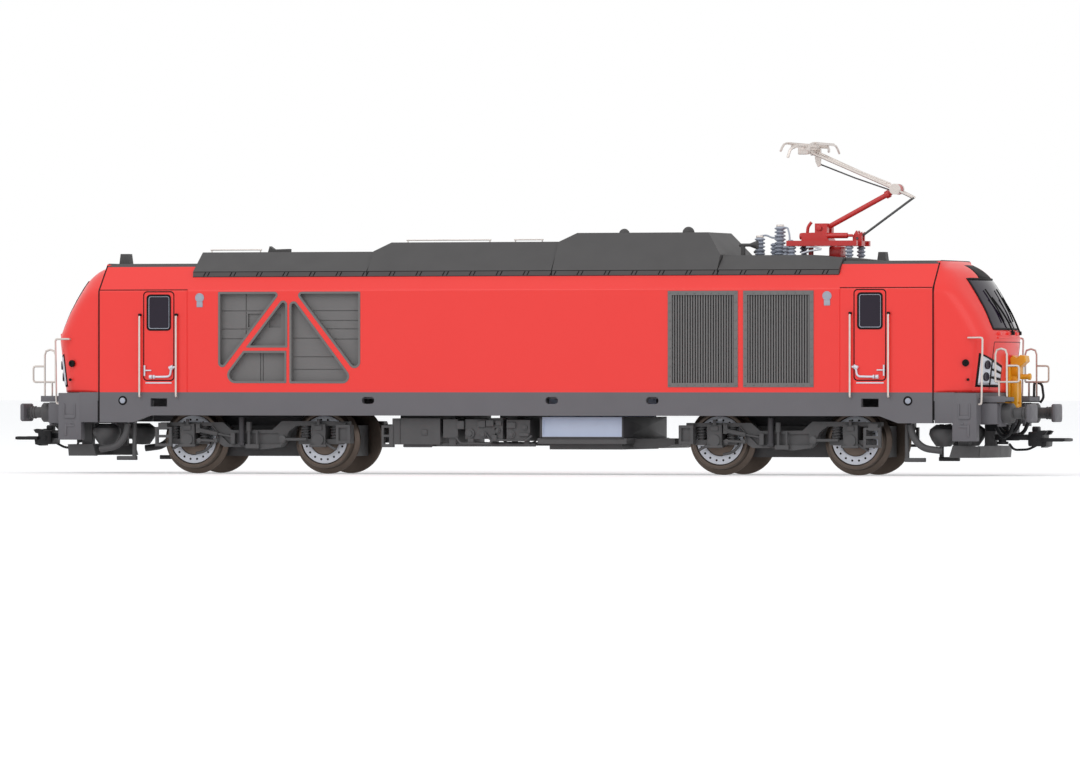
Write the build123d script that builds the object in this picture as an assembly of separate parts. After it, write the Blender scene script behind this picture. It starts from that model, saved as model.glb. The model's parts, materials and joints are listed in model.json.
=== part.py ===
"""H0 scale (1:87) dual-mode locomotive model. Lengths in millimetres.

+X is the pantograph end, +Z is up, and every height in this file is above the rail top.
The saved parts are lifted by the flange depth, so the origin lies on the floor under the wheels.
"""
from build123d import *
import os

os.makedirs("parts", exist_ok=True)

# driving sizes of the running gear
flange_depth = 1.2
tread_radius = 6.2
wheel_width = 2.9
back_to_back = 14.1
axle_radius = 1.0
bearing_gap = 0.06
pivot_x = 59.55
axle_offset = 15.0
kingpin_radius = 2.0
beam_y = 13.0
beam_thick = 2.4

# driving sizes of the body
half_width = 17.3
wall = 1.2
seam_x = 93.65
seam_gap = 0.32
sill_bottom = 11.4
sill_top = 16.4
sill_deep = 9.9
shoulder_z = 38.3
roof_edge_z = 43.5
roof_edge_y = 12.3
deck_rise = 0.7
hood_foot_z = 41.2
hood_ledge = 1.2
hood_top_y = 8.4
groove = 0.22

# driving sizes of the ends
buffer_x = 114.0
buffer_y = 10.06
buffer_z = 12.0
coupler_tip_x = 118.6
coupler_z = 6.9
coupler_pivot_x = 104.0

# driving sizes of the pantograph: (x, z) of its pins, and the top of the contact strips
pan_pivot = (64.8, 51.1)
pan_elbow = (80.8, 59.5)
pan_head = (61.9, 67.7)
rod_foot = (72.4, 49.1)
rod_hook = (84.5, 57.7)
strip_top = 69.5
pan_frame_z = 47.5


def save(name, shape):
    """Writes one node, lifted so that the flanges stand on the floor."""
    solids = shape.solids()
    body = solids[0] if len(solids) == 1 else Compound(children=list(solids))
    export_step(Pos(0, 0, flange_depth) * body, os.path.join("parts", name + ".step"))
    print(name, len(solids), round(sum(s.volume for s in solids), 2))


def block(x0, x1, y0, y1, z0, z1):
    """A plain box from its two corners."""
    centre = Pos((x0 + x1) / 2, (y0 + y1) / 2, (z0 + z1) / 2)
    return centre * Box(abs(x1 - x0), abs(y1 - y0), abs(z1 - z0))


def side_prism(points, y0, y1):
    """A side view outline of (x, z) points, carried from y0 to y1."""
    face = make_face(Polyline([(x, y0, z) for x, z in points], close=True))
    return extrude(face, amount=y1 - y0, dir=(0, 1, 0))


def cross_prism(points, x0, x1):
    """A cross section of (y, z) points, carried from x0 to x1."""
    face = make_face(Polyline([(x0, y, z) for y, z in points], close=True))
    return extrude(face, amount=x1 - x0, dir=(1, 0, 0))


def plan_prism(points, z0, z1):
    """A plan view outline of (x, y) points, carried from z0 to z1."""
    face = make_face(Polyline([(x, y, z0) for x, y in points], close=True))
    return extrude(face, amount=z1 - z0, dir=(0, 0, 1))


def rod(start, end, radius):
    """A round bar from one point to another."""
    line = Vector(*end) - Vector(*start)
    return Plane(origin=start, z_dir=line) * Cylinder(
        radius, line.length, align=(Align.CENTER, Align.CENTER, Align.MIN))


def flat_rod(start, end, radius, sides=8):
    """A bar of flats from one point to another, for small parts that need few facets."""
    line = Vector(*end) - Vector(*start)
    profile = Plane(origin=start, z_dir=line) * RegularPolygon(radius, sides)
    return extrude(profile, amount=line.length, dir=line)


def bent_bar(points, radius, bend):
    """A six sided wire, each corner taken in two chords."""
    corners = [Vector(*point) for point in points]
    path = [corners[0]]
    for before, corner, after in zip(corners, corners[1:], corners[2:]):
        start = corner + (before - corner).normalized() * bend
        end = corner + (after - corner).normalized() * bend
        path += [start, (start + end) * 0.25 + corner * 0.5, end]
    path.append(corners[-1])
    profile = Plane(origin=path[0], z_dir=path[1] - path[0]) * RegularPolygon(radius, 6)
    return sweep(profile, path=Polyline(*path), transition=Transition.RIGHT)


def joined(shapes):
    """One shape from a list that touches or overlaps."""
    total = shapes[0]
    for shape in shapes[1:]:
        total = total + shape
    return total


def both_sides(shape):
    """The shape and its mirror image on the far side."""
    return shape + mirror(shape, about=Plane.XZ)


def both_ends(shape):
    """The shape and its mirror image at the other end."""
    return shape + mirror(shape, about=Plane.YZ)


def at_end(shape, end):
    """The shape at the right end (+1) or mirrored to the left end (-1)."""
    return shape if end > 0 else mirror(shape, about=Plane.YZ)


def rounded_slab(x0, x1, z0, z1, radius, y0, y1):
    """A rounded rectangle in side view, carried from y0 to y1."""
    face = Plane(origin=((x0 + x1) / 2, y0, (z0 + z1) / 2), x_dir=(1, 0, 0), z_dir=(0, 1, 0))
    return extrude(face * RectangleRounded(x1 - x0, z1 - z0, radius), amount=y1 - y0)


def outline_face(corners, y):
    """A closed side view outline of (x, z, corner radius) rows, standing at y."""
    path = FilletPolyline(*[(x, y, z) for x, z, radius in corners],
                          radius=[radius for x, z, radius in corners], close=True)
    return make_face(path)


def drawn_in(corners, width):
    """The outline with its edges moved inwards and its corner radii cut to fit."""
    rows = []
    for k, (x, z, radius) in enumerate(corners):
        before = corners[k - 1]
        after = corners[(k + 1) % len(corners)]
        arriving = Vector(z - before[1], 0, before[0] - x).normalized()
        leaving = Vector(after[1] - z, 0, x - after[0]).normalized()
        shift = (arriving + leaving) * (width / (1 + arriving.dot(leaving)))
        rows.append((x + shift.X, z + shift.Z, max(radius - width, 0.1)))
    return rows


# body shell: one extruded section, open below and where the hoods sit
inner_y = half_width - wall
slope = (half_width - roof_edge_y) / (roof_edge_z - shoulder_z)
hood_foot_y = half_width - slope * (hood_foot_z - shoulder_z)
hood_left = -73.1
hood_right = 72.3
body_end = seam_x - seam_gap / 2
groove_depth = 0.15


def body_section(inset, top):
    """Half outline of the body, from the sill up over the shoulder, mirrored to close."""
    side = half_width - inset
    edge = roof_edge_y - inset * 0.6
    half = [(side, sill_top), (side, shoulder_z - inset * 0.4), (edge, top)]
    return half + [(-y, z) for y, z in reversed(half)]


# windows in the lattice field, clockwise rows of (x, z, corner radius) in side view
lattice = [
    [(-66.2, 38.0, 0.25), (-51.84, 38.0, 0.7), (-66.2, 20.08, 0.93)],
    [(-50.4, 37.86, 0.95), (-50.4, 26.0, 0.2), (-59.9, 26.0, 0.1)],
    [(-60.46, 25.3, 0.2), (-50.6, 25.3, 0.2), (-50.6, 18.35, 0.2), (-66.03, 18.35, 1.78)],
    [(-49.9, 37.75, 0.95), (-34.74, 18.3, 1.5), (-49.9, 18.3, 0.25)],
    [(-48.75, 38.0, 0.8), (-33.8, 38.0, 0.25), (-33.8, 19.15, 1.3)],
]
rim_width = 0.45
rim_proud = 0.08
grilles = [(35.3, 50.8), (52.0, 67.5)]
grille_z = (17.5, 37.9)
doors = [-79.85, 79.85]
door_leaf = (3.6, 18.8, shoulder_z - 0.1)
door_window = (2.55, 29.8, 37.3)
window_round = 0.8
panel_lines = [-73.3, 73.3]


def lattice_cut(width, y0, y1):
    """The five lattice windows as prisms, drawn in by a width all round."""
    cuts = []
    for corners in lattice:
        rows = drawn_in(corners, width) if width else corners
        cuts.append(extrude(outline_face(rows, y0), amount=y1 - y0, dir=(0, 1, 0)))
    return cuts


def door_groove(x, y0, y1):
    """The narrow gap round a door leaf."""
    half, low, high = door_leaf
    return (rounded_slab(x - half, x + half, low, high, 0.9, y0, y1)
            - rounded_slab(x - half + groove, x + half - groove, low + groove, high - groove,
                           0.9 - groove, y0 - 1, y1 + 1))


def body_shell():
    outer = cross_prism(body_section(0, roof_edge_z), -body_end, body_end)
    shoulder_edges = outer.edges().filter_by(Axis.X).filter_by_position(
        Axis.Z, shoulder_z - 0.1, shoulder_z + 0.1)
    outer = fillet(shoulder_edges, 0.5)
    inner = cross_prism(body_section(wall, roof_edge_z - wall), -body_end, body_end)
    shell = outer - inner
    shell -= block(hood_left, hood_right, -half_width, half_width, hood_foot_z, roof_edge_z + 1)
    cuts = []
    for side in (-1, 1):
        y0, y1 = (-half_width - 1, -inner_y + 1) if side < 0 else (inner_y - 1, half_width + 1)
        cuts += lattice_cut(0, y0, y1)
        for x0, x1 in grilles:
            cuts.append(block(x0, x1, y0, y1, *grille_z))
        for x in doors:
            half, low, high = door_window
            cuts.append(rounded_slab(x - half, x + half, low, high, window_round, y0, y1))
    skin = (-half_width - 1, -half_width + groove_depth)
    shallow = [door_groove(x, *skin) for x in doors]
    shallow += [block(x - groove / 2, x + groove / 2, *skin, sill_top - 1, shoulder_z) for x in panel_lines]
    for cut in cuts + shallow + [mirror(cut, about=Plane.XZ) for cut in shallow]:
        shell -= cut
    return shell


save("body_shell", body_shell())


def lattice_rims():
    """A thin raised rim round each lattice window, seated in the wall."""
    outer = lattice_cut(0, -half_width - rim_proud, -inner_y)
    inner = lattice_cut(rim_width, -half_width - 1, -inner_y + 1)
    return both_sides(joined([whole - hole for whole, hole in zip(outer, inner)]))


# shallow lines and recesses in the panels behind the lattice: (x0, x1, z0, z1, depth)
panel_marks = [
    (-66.6, -53.0, 33.8, 34.0, 0.2), (-66.6, -58.0, 29.9, 30.1, 0.2), (-66.6, -57.0, 27.8, 28.0, 0.2),
    (-60.3, -60.1, 25.5, 38.0, 0.2), (-59.8, -56.6, 30.4, 33.3, 0.4), (-55.0, -52.3, 30.3, 33.3, 0.4),
    (-57.0, -56.8, 17.5, 25.3, 0.2), (-56.4, -56.2, 17.5, 25.3, 0.2),
    (-50.3, -41.6, 27.9, 28.1, 0.2), (-50.3, -38.0, 23.9, 24.1, 0.2), (-50.3, -36.0, 21.2, 21.4, 0.2),
    (-46.0, -34.0, 33.8, 34.0, 0.2), (-44.0, -34.0, 31.7, 31.9, 0.2), (-42.5, -34.0, 29.9, 30.1, 0.2),
    (-41.0, -34.0, 27.7, 27.9, 0.2),
]


def lattice_backs():
    """Panels behind the lattice windows, with their lines and recesses."""
    x0, x1, z0, z1 = -67.3, -33.0, 17.4, shoulder_z - 0.6
    front, back = -inner_y, -inner_y + 0.7
    panel = block(x0, x1, front, back, z0, z1)
    marks = [block(mark_x0, mark_x1, front - 1, front + depth, mark_z0, mark_z1)
             for mark_x0, mark_x1, mark_z0, mark_z1, depth in panel_marks]
    return both_sides(panel - joined(marks))


save("window_rims", lattice_rims())
save("window_panels", lattice_backs())


slat_count = 24
grille_border = 0.9


def grille(x0, x1):
    """A bolted frame with upright slats across its opening and a closed back."""
    low, high = grille_z
    outside = -half_width
    frame = block(x0, x1, outside - 0.15, outside + 0.9, low, high)
    frame -= block(x0 + grille_border, x1 - grille_border, outside - 1, outside + 1,
                   low + grille_border, high - grille_border)
    pitch = (x1 - x0 - 2 * grille_border) / slat_count
    slats = []
    for k in range(slat_count):
        x = x0 + grille_border + (k + 0.5) * pitch
        slats.append(block(x - 0.15, x + 0.15, outside + 0.1, outside + 0.9,
                           low + grille_border / 2, high - grille_border / 2))
    back = block(x0, x1, outside + 0.8, -inner_y, low, high)
    return joined([frame, back] + slats)


save("side_grilles", both_sides(joined([grille(x0, x1) for x0, x1 in grilles])))

door_panes = []
for x in doors:
    half, low, high = door_window
    door_panes.append(rounded_slab(x - half, x + half, low, high, window_round,
                                   -half_width + 0.25, -inner_y))
save("door_windows", both_sides(joined(door_panes)))

deck_top = roof_edge_z + deck_rise

# cab fronts: plan sections at rising heights. Rows are the height, how far the crease is ahead of
# the seam and in from the body side, and how far the middle is ahead of the seam.
nose_rows = [
    (sill_top, 7.55, 2.0, 13.25),
    (28.2, 9.55, 2.3, 14.65),
    (33.5, 6.25, 1.4, 12.35),
    (shoulder_z - 1.4, 3.15, 0.6, 10.45),
    (shoulder_z, 1.55, 0.3, 9.55),
    (shoulder_z + 3.0, 1.05, 2.9, 7.25),
    (roof_edge_z - 0.4, 0.85, 4.6, 3.85),
    (deck_top, 0.75, 6.1, 1.95),
]
nose_sections = [(z, seam_x + crease, half_width - inward, seam_x + middle)
                 for z, crease, inward, middle in nose_rows]
nose_back = seam_x + seam_gap / 2
nose_tip = max(middle for z, x, y, middle in nose_sections)
nose_chords = 10


def nose_face(z, crease_x, crease_y, middle_x, inset, back):
    """A plan section of the nose, drawn in by inset: sides, crease and front of chords."""
    rise = max(0.0, z - shoulder_z)
    side = min(half_width - slope * rise, half_width) - inset
    cx = crease_x - inset * 0.8
    cy = min(crease_y - inset, side)
    nose = middle_x - inset
    front = ThreePointArc((cx, -cy, z), (nose, 0, z), (cx, cy, z))
    chords = [front @ (k / nose_chords) for k in range(nose_chords + 1)]
    return make_face(Polyline(*chords, (back, side, z), (back, -side, z), close=True))


def nose_solid(inset, back, rows):
    sections = [nose_face(z, cx, cy, mx, inset, back) for z, cx, cy, mx in rows]
    return loft(sections, ruled=True)


def cab_front():
    outer = nose_solid(0, nose_back, nose_sections)
    inner = nose_solid(wall, nose_back - 1, nose_sections[:-1])
    return outer - inner


screen_low_z = 29.7
screen_high_z = 40.3
screen_low_y = 9.8
screen_high_y = 9.6


def screen_prism(grow, x0, x1):
    """The windscreen outline in front view, carried back through the nose."""
    low_y = screen_low_y + grow
    high_y = screen_high_y + grow
    return cross_prism([(-low_y, screen_low_z - grow), (low_y, screen_low_z - grow),
                        (high_y, screen_high_z + grow), (-high_y, screen_high_z + grow)], x0, x1)


nose = cab_front()
pane_gap = 0.02
screen_back = seam_x + 2.0
screen_front = nose_tip + 2.0
screen = nose & screen_prism(-pane_gap, screen_back, screen_front)
nose_open = nose - screen_prism(0, screen_back, screen_front)
nose_solids = nose_open.solids()
nose_open = max(nose_solids, key=lambda s: s.volume)
screen = max(screen.solids(), key=lambda s: s.volume)
for end, name in ((-1, "left"), (1, "right")):
    save("cab_front_" + name, at_end(nose_open, end))
    save("windscreen_" + name, at_end(screen, end))

# sill: side skirts joined by a floor plate, deeper under the cabs
skirt = 1.4
deck_plate = 1.4
deep_from = seam_x - 7.65
shallow_to = seam_x - 11.75
skirt_outline = [(-body_end, sill_top), (-body_end, sill_deep), (-deep_from, sill_deep),
                 (-shallow_to, sill_bottom), (shallow_to, sill_bottom), (deep_from, sill_deep),
                 (body_end, sill_deep), (body_end, sill_top)]
sill_ovals = [-32.05, 9.35, 31.8]
gear_slot = (5.0, 12.0, 4.5)


def sill_frame():
    """Both skirts with door steps and lifting holes, and the floor plate over the bogies."""
    side = side_prism(skirt_outline, -half_width, -half_width + skirt)
    through = (-half_width - 1, -half_width + skirt + 1)
    for x in doors:
        side -= block(x - 1.9, x + 1.9, *through, 13.3, 15.1)
    for x in sill_ovals:
        side -= rounded_slab(x - 1.4, x + 1.4, 13.9, 15.4, 0.7, *through)
    floor = block(-body_end, body_end, -half_width + skirt, half_width - skirt,
                  sill_top - deck_plate, sill_top)
    near, far, half = gear_slot
    slots = both_ends(block(pivot_x + near, pivot_x + far, -half, half, sill_top - 3, sill_top + 1))
    pins = both_ends(Pos(pivot_x, 0, sill_top) * Cylinder(kingpin_radius + bearing_gap, 6))
    return both_sides(side) + (floor - slots - pins)


save("sill_frame", sill_frame())


beam_bottom = sill_top - 1.8
front_low = 9.6
front_x = seam_x + 9.55


def end_sill():
    """Grey skirt below the nose, following its plan, with the buffer beam behind it."""
    z, cx, cy, mx = nose_sections[0]
    plan = nose_face(sill_top, cx, cy, mx, 0, nose_back)
    beam = extrude(plan, amount=sill_top - beam_bottom, dir=(0, 0, -1))
    front = block(front_x - 3.2, front_x, -half_width + 1.7, half_width - 1.7, front_low, beam_bottom + 0.8)
    cheek = block(nose_back, front_x - 4.6, -half_width, -half_width + skirt, sill_deep, sill_top - 0.2)
    return joined([beam, front, both_sides(cheek)])


def corner_steps():
    """Step block at the corner, with two foot holes and a groove over the upper one."""
    back = front_x - 5.4
    outside = -half_width
    steps = block(back, front_x, outside, outside + 2.4, 6.0, sill_top - 0.2)
    for x0, x1, z0, z1 in ((1.5, 3.4, 11.2, 13.4), (1.0, 4.4, 7.0, 9.6)):
        steps -= block(back + x0, back + x1, outside - 1, outside + 0.8, z0, z1)
    tread = block(back, front_x, outside + 0.3, outside + 2.4, 5.0, 5.4)
    hangers = [block(back + x, back + x + 0.5, outside + 0.3, outside + 2.4, 5.2, 6.1) for x in (0, 4.9)]
    return joined([steps, tread] + hangers)


platform_z = 15.5
platform = both_sides(block(front_x - 0.8, seam_x + 14.75, -14.0, -6.2, beam_bottom - 0.1, platform_z))
end_frame = joined([end_sill(), both_sides(corner_steps()), platform])
for end, name in ((-1, "left"), (1, "right")):
    save("end_frame_" + name, at_end(end_frame, end))


def buffer():
    """Housing, flange with its foot, shank with a collar, and rectangular head of one buffer."""
    y, z, head_back = -buffer_y, buffer_z, buffer_x - 1.1
    housing = rod((front_x, y, z), (front_x + 3.6, y, z), 2.03)
    flange = block(front_x + 3.2, front_x + 3.8, y - 2.4, y + 2.4, 9.6, 14.1)
    foot = block(front_x + 1.6, front_x + 3.8, y - 1.6, y + 1.6, 9.2, 9.8)
    shank = rod((front_x + 3.7, y, z), (head_back + 0.1, y, z), 1.15)
    collar = rod((head_back - 1.6, y, z), (head_back - 0.8, y, z), 1.6)
    head = block(head_back, buffer_x, y - 3.1, y + 3.1, z - 1.95, z + 1.95)
    head = fillet(head.edges().filter_by(Axis.X), 0.7)
    return joined([housing, flange, foot, shank, collar, head])


save("buffers", both_ends(both_sides(buffer())))

# wires and rails
wire = 0.22


def end_railing():
    """Hoop, small loop and posts over one buffer."""
    y, back, front, out = -12.0, seam_x + 12.1, seam_x + 14.6, seam_x + 17.25
    hoop = bent_bar([(back, y, 18.6), (back, y, 25.6), (front, y, 25.6), (front, y, platform_z)],
                    wire, 1.2)
    loop = bent_bar([(front, y, 22.0), (out, y, 22.0), (out, y, 18.6), (back, y, 18.6)],
                    wire, 0.5)
    post = flat_rod((back + 0.8, y, platform_z), (back + 0.8, y, 18.6), wire, 6)
    return joined([hoop, loop, post])


def nose_handrail():
    """Side handrail of the cab front, from the nose down to the end block."""
    y = -half_width + 1.0
    bar = bent_bar([(seam_x + 7.25, y + 1.3, 27.9), (seam_x + 7.25, y, 27.9), (seam_x + 10.5, y, 27.9),
                    (seam_x + 10.25, y, 13.9), (front_x, y, 13.9)], wire, 0.45)
    return bar - nose_solid(0, seam_x, nose_sections[:3])


def door_rails():
    """Two stand-off handrails beside a door."""
    bars = []
    for x in (-4.2, 4.2):
        y = -half_width - 0.75
        bars.append(bent_bar([(x, -half_width, 33.0), (x, y, 33.0), (x, y, 15.4),
                              (x, -half_width, 15.4)], wire, 0.4))
    return bars


rails = [end_railing(), nose_handrail()]
rails_all = both_ends(both_sides(joined(rails)))
save("end_railings", rails_all)
door_bars = joined([Pos(x, 0, 0) * bar for x in doors for bar in door_rails()])
save("door_handrails", both_sides(door_bars))


lamp_plate = [(-14.0, 18.0), (-6.2, 17.6), (-6.2, 21.7), (-14.0, 24.3)]
lamp_proud = 0.25


def headlamp():
    """Lamp plate on the corner of the nose, following its surface, with a recess for each lamp."""
    rows = nose_sections[:3]
    skin = nose_solid(-lamp_proud, seam_x + 1, rows) - nose_solid(0, seam_x + 0.5, rows)
    plate = skin & cross_prism(lamp_plate, seam_x + 4.35, nose_tip + 2)
    for z in (19.8, 22.1):
        plate -= flat_rod((seam_x, -12.3, z), (nose_tip + 2, -12.3, z), 0.75, 12)
    return plate


save("headlamps", both_ends(both_sides(headlamp())))

# roof hoods: name, x from, x to, top height, length of the rise, length of the fall, half width of the top
hood_seam_a = -33.3
hood_seam_b = 8.4
hood_end = 45.4
hood_table = [
    ("roof_hood_rear", hood_left, hood_seam_a, 46.65, 0.0, 0.0, hood_top_y),
    ("roof_hood_middle", hood_seam_a, hood_seam_b, 48.6, 3.6, 0.0, hood_top_y + 0.2),
    ("roof_hood_front", hood_seam_b, hood_end, 50.45, 3.8, 3.9, hood_top_y),
]
hood_ledge_z = hood_foot_z + hood_ledge
low_roof_z = 45.5
low_roof_end_z = 44.8
seam_line = 0.1


def hood_section(top, top_y):
    """Outline of a hood: foot on the body slope, upright ledge, slanted side, flat top."""
    foot = hood_foot_y
    half = [(foot, hood_foot_z), (foot, hood_ledge_z), (top_y, top)]
    return half + [(-y, z) for y, z in reversed(half)]


def hood(x0, x1, top, ramp_in, ramp_out, top_y):
    """A hood whose ends ramp down to the hood beside it."""
    solid = cross_prism(hood_section(top, top_y), x0 + seam_line, x1 - seam_line)
    if ramp_in:
        low = top - 1.95
        solid -= side_prism([(x0, low), (x0, top + 1), (x0 + ramp_in, top + 1), (x0 + ramp_in, top)],
                            -half_width, half_width)
    if ramp_out:
        solid -= side_prism([(x1, low_roof_z), (x1, top + 1), (x1 - ramp_out, top + 1),
                             (x1 - ramp_out, top)], -half_width, half_width)
    return solid


for name, *row in hood_table:
    save(name, hood(*row))
low_roof = hood(hood_end, hood_right, low_roof_z, 0, 0, hood_top_y + 2.0)
low_roof -= side_prism([(hood_right - 7, low_roof_z), (hood_right - 7, low_roof_z + 1),
                        (hood_right, low_roof_z + 1), (hood_right, low_roof_end_z)],
                       -half_width, half_width)
save("roof_deck_low", low_roof)

deck_profile = [(-roof_edge_y, roof_edge_z), (roof_edge_y, roof_edge_z),
                (roof_edge_y - 1.0, deck_top), (-roof_edge_y + 1.0, deck_top)]
cab_decks = []
for x0, x1 in ((-body_end, hood_left - seam_line), (hood_right + seam_line, body_end)):
    cab_decks.append(cross_prism(deck_profile, x0, x1))
wedge_from = hood_right + seam_line
cab_decks.append(side_prism([(wedge_from, roof_edge_z + 0.1), (wedge_from, low_roof_end_z),
                             (wedge_from + 8.2, deck_top), (wedge_from + 8.2, roof_edge_z + 0.1)],
                            -roof_edge_y + 2.2, roof_edge_y - 2.2))
aerial_left = side_prism([(-92.4, deck_top - 0.1), (-90.0, deck_top - 0.1), (-90.3, 46.4), (-92.1, 46.4)],
                         -8.2, -5.8)
aerial_right = side_prism([(76.7, deck_top - 0.1), (78.8, deck_top - 0.1), (78.5, 46.2), (77.0, 46.2)],
                          -1.05, 1.05)
cab_deck = joined(cab_decks + [aerial_left, aerial_right])
save("cab_roof_decks", cab_deck)

# roof domes: x, radius of the foot, height
dome_table = [(20.1, 1.15, 1.0), (34.5, 1.3, 1.35)]


def dome(x, radius, height):
    """A low round cap on the front hood, as a slice of a ball."""
    ball = (radius ** 2 + height ** 2) / (2 * height)
    foot = hood_table[2][3]
    cap = Pos(x, 0, foot + height - ball) * Sphere(ball)
    return cap & block(x - 9, x + 9, -9, 9, foot, foot + 9)


save("roof_domes", joined([dome(*row) for row in dome_table]))
cover_foot = hood_table[0][3]
cover = side_prism([(-60.8, cover_foot), (-60.4, cover_foot + 1.4), (-59.4, cover_foot + 0.7),
                    (-55.9, cover_foot + 0.8), (-55.9, cover_foot)], -0.8, 0.8)
save("roof_cover_small", cover)

# pantograph field: insulators as (x, y, top height, radius), horns, base frame
insulator_table = [(50.45, 0.0, 49.4, 1.15), (54.95, 0.0, 51.7, 1.25)]
insulator_table += [(x, y, pan_frame_z, 0.95) for x in (58.9, 71.6) for y in (-4.5, 4.5)]
rib_pitch = 0.78


def insulator(x, y, top, radius):
    """A ribbed post insulator, standing on the low roof."""
    foot = low_roof_z - 0.8
    stack = [flat_rod((x, y, foot), (x, y, top), radius * 0.5, 10)]
    ribs = int((top - low_roof_z - 0.3) / rib_pitch)
    for k in range(ribs):
        z = top - 0.35 - k * rib_pitch
        stack.append(flat_rod((x, y, z - 0.34), (x, y, z), radius, 10))
    return joined(stack) - low_roof - cab_deck


save("insulators", joined([insulator(*row) for row in insulator_table]))


def horn(x0, x1, y, z, throat, mouth):
    """A trumpet lying along the roof: tube, flared mouth and foot."""
    half_way = (x0 + x1) / 2 + 0.3
    bell = Plane(origin=(half_way, y, z), z_dir=(1, 0, 0)) * Cone(
        throat, mouth, x1 - half_way, align=(Align.CENTER, Align.CENTER, Align.MIN))
    foot = block(x0 + 0.4, x0 + 1.2, y - 0.3, y + 0.3, low_roof_z, z)
    return joined([rod((x0, y, z), (half_way + 0.05, y, z), throat), bell, foot])


save("horns", horn(47.0, 51.0, -3.6, 47.75, 0.35, 1.0) + horn(48.2, 50.4, 3.0, 46.35, 0.25, 0.6))

(px, pz), (ex, ez), (hx, hz) = pan_pivot, pan_elbow, pan_head
(rx, rz), (kx, kz) = rod_foot, rod_hook
pin_gap = 0.05


def pan_frame():
    """Base frame of the pantograph on its insulators, with the arm saddle and the rod lugs."""
    low, high = pan_frame_z, pan_frame_z + 1.1
    back, front = px - 6.9, px + 8.6
    rails_pair = both_sides(block(back, front, -5.4, -4.2, low, high))
    cross_a = block(back, back + 1.6, -5.4, 5.4, low, high)
    cross_b = block(rx - 1.4, rx + 0.2, -5.4, 5.4, low, high)
    saddle = side_prism([(px - 4.4, low), (px + 2.2, low), (px + 1.7, low + 1.2), (px + 0.6, pz - 0.7),
                         (px - 4.4, pz - 0.8)], -2.6, 2.6)
    saddle += block(px - 4.4, px + 2.2, -4.3, 4.3, low, high - 0.1)
    boss = rod((px - 5.4, 0, pz - 1.5), (px - 4.3, 0, pz - 1.5), 0.7)
    cheeks = both_sides(block(px - 1.4, px + 1.3, -2.6, -1.0, pz - 1.2, pz + 1.2))
    cylinder = rod((px + 0.2, -2.0, pz - 1.4), (px + 5.7, -2.0, pz - 1.4), 0.6)
    tip = rod((px + 5.6, -2.0, pz - 1.4), (px + 6.8, -2.0, pz - 1.4), 0.3)
    lug = side_prism([(rx - 1.0, high - 0.1), (rx - 1.0, rz + 0.5), (rx - 0.2, rz + 1.7), (rx + 0.4, rz + 0.8),
                      (rx + 1.0, rz + 1.4), (rx + 1.0, high - 0.1)], -1.3, -0.6)
    lug_foot = block(rx - 1.0, rx + 1.0, -1.3, 1.3, low, high - 0.05)
    post = rod((px - 3.0, 0, low_roof_z + 0.05), (px - 3.0, 0, low + 0.1), 0.55)
    drum = rod((px + 1.3, 0, low_roof_z + 0.95), (px + 4.1, 0, low_roof_z + 0.95), 0.9)
    stem = block(px + 1.4, px + 2.1, -0.5, 0.5, low_roof_z + 1.2, low + 0.1)
    shape = joined([rails_pair, cross_a, cross_b, saddle, boss, cheeks, cylinder, tip, both_sides(lug),
                    lug_foot, post, drum, stem])
    arm_slot = block(px - 1.5, px + 4.2, -1.0, 1.0, pz - 1.0, pz + 3)
    arm_hole = rod((px, -4, pz), (px, 4, pz), 0.4 + pin_gap)
    rod_hole = rod((rx, -4, rz), (rx, 4, rz), 0.25 + pin_gap)
    return shape - arm_slot - arm_hole - rod_hole


save("pantograph_base", pan_frame())


def lower_arm():
    """Single tube from the base pivot to a fork at the elbow, with a collar below the elbow."""
    pin = rod((px, -2.4, pz), (px, 2.4, pz), 0.4)
    hub = rod((px, -0.9, pz), (px, 0.9, pz), 0.9)
    tube = rod((px, 0, pz), (ex, 0, ez), 0.55)
    share_a, share_b = 0.85, 0.9
    collar = rod((px + share_a * (ex - px), 0, pz + share_a * (ez - pz)),
                 (px + share_b * (ex - px), 0, pz + share_b * (ez - pz)), 0.85)
    knuckle = rod((ex, -0.8, ez), (ex, 0.8, ez), 1.1)
    arm = joined([pin, hub, tube, collar, knuckle])
    return arm - rod((ex, -3, ez), (ex, 3, ez), 0.36 + pin_gap)


def upper_arm():
    """Two slim tubes that spread from the elbow to the cross tube of the head."""
    parts = [rod((ex, -1.9, ez), (ex, 1.9, ez), 0.36)]
    for side in (-1, 1):
        parts.append(rod((ex, 1.1 * side, ez), (ex, 1.9 * side, ez), 1.15))
        parts.append(rod((ex, 1.5 * side, ez), (hx, 3.0 * side, hz), 0.3))
        parts.append(rod((ex, 1.5 * side, ez), (kx, 0.9 * side, kz), 0.28))
    parts.append(rod((hx, -4.6, hz), (hx, 4.6, hz), 0.36))
    return joined(parts)


save("pantograph_lower_arm", lower_arm())
save("pantograph_upper_arm", upper_arm())
guide = joined([rod((rx, -1.4, rz), (rx, 1.4, rz), 0.25), rod((rx, 0, rz), (kx, 0, kz), 0.25)])
save("pantograph_guide_rod", guide)


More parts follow.
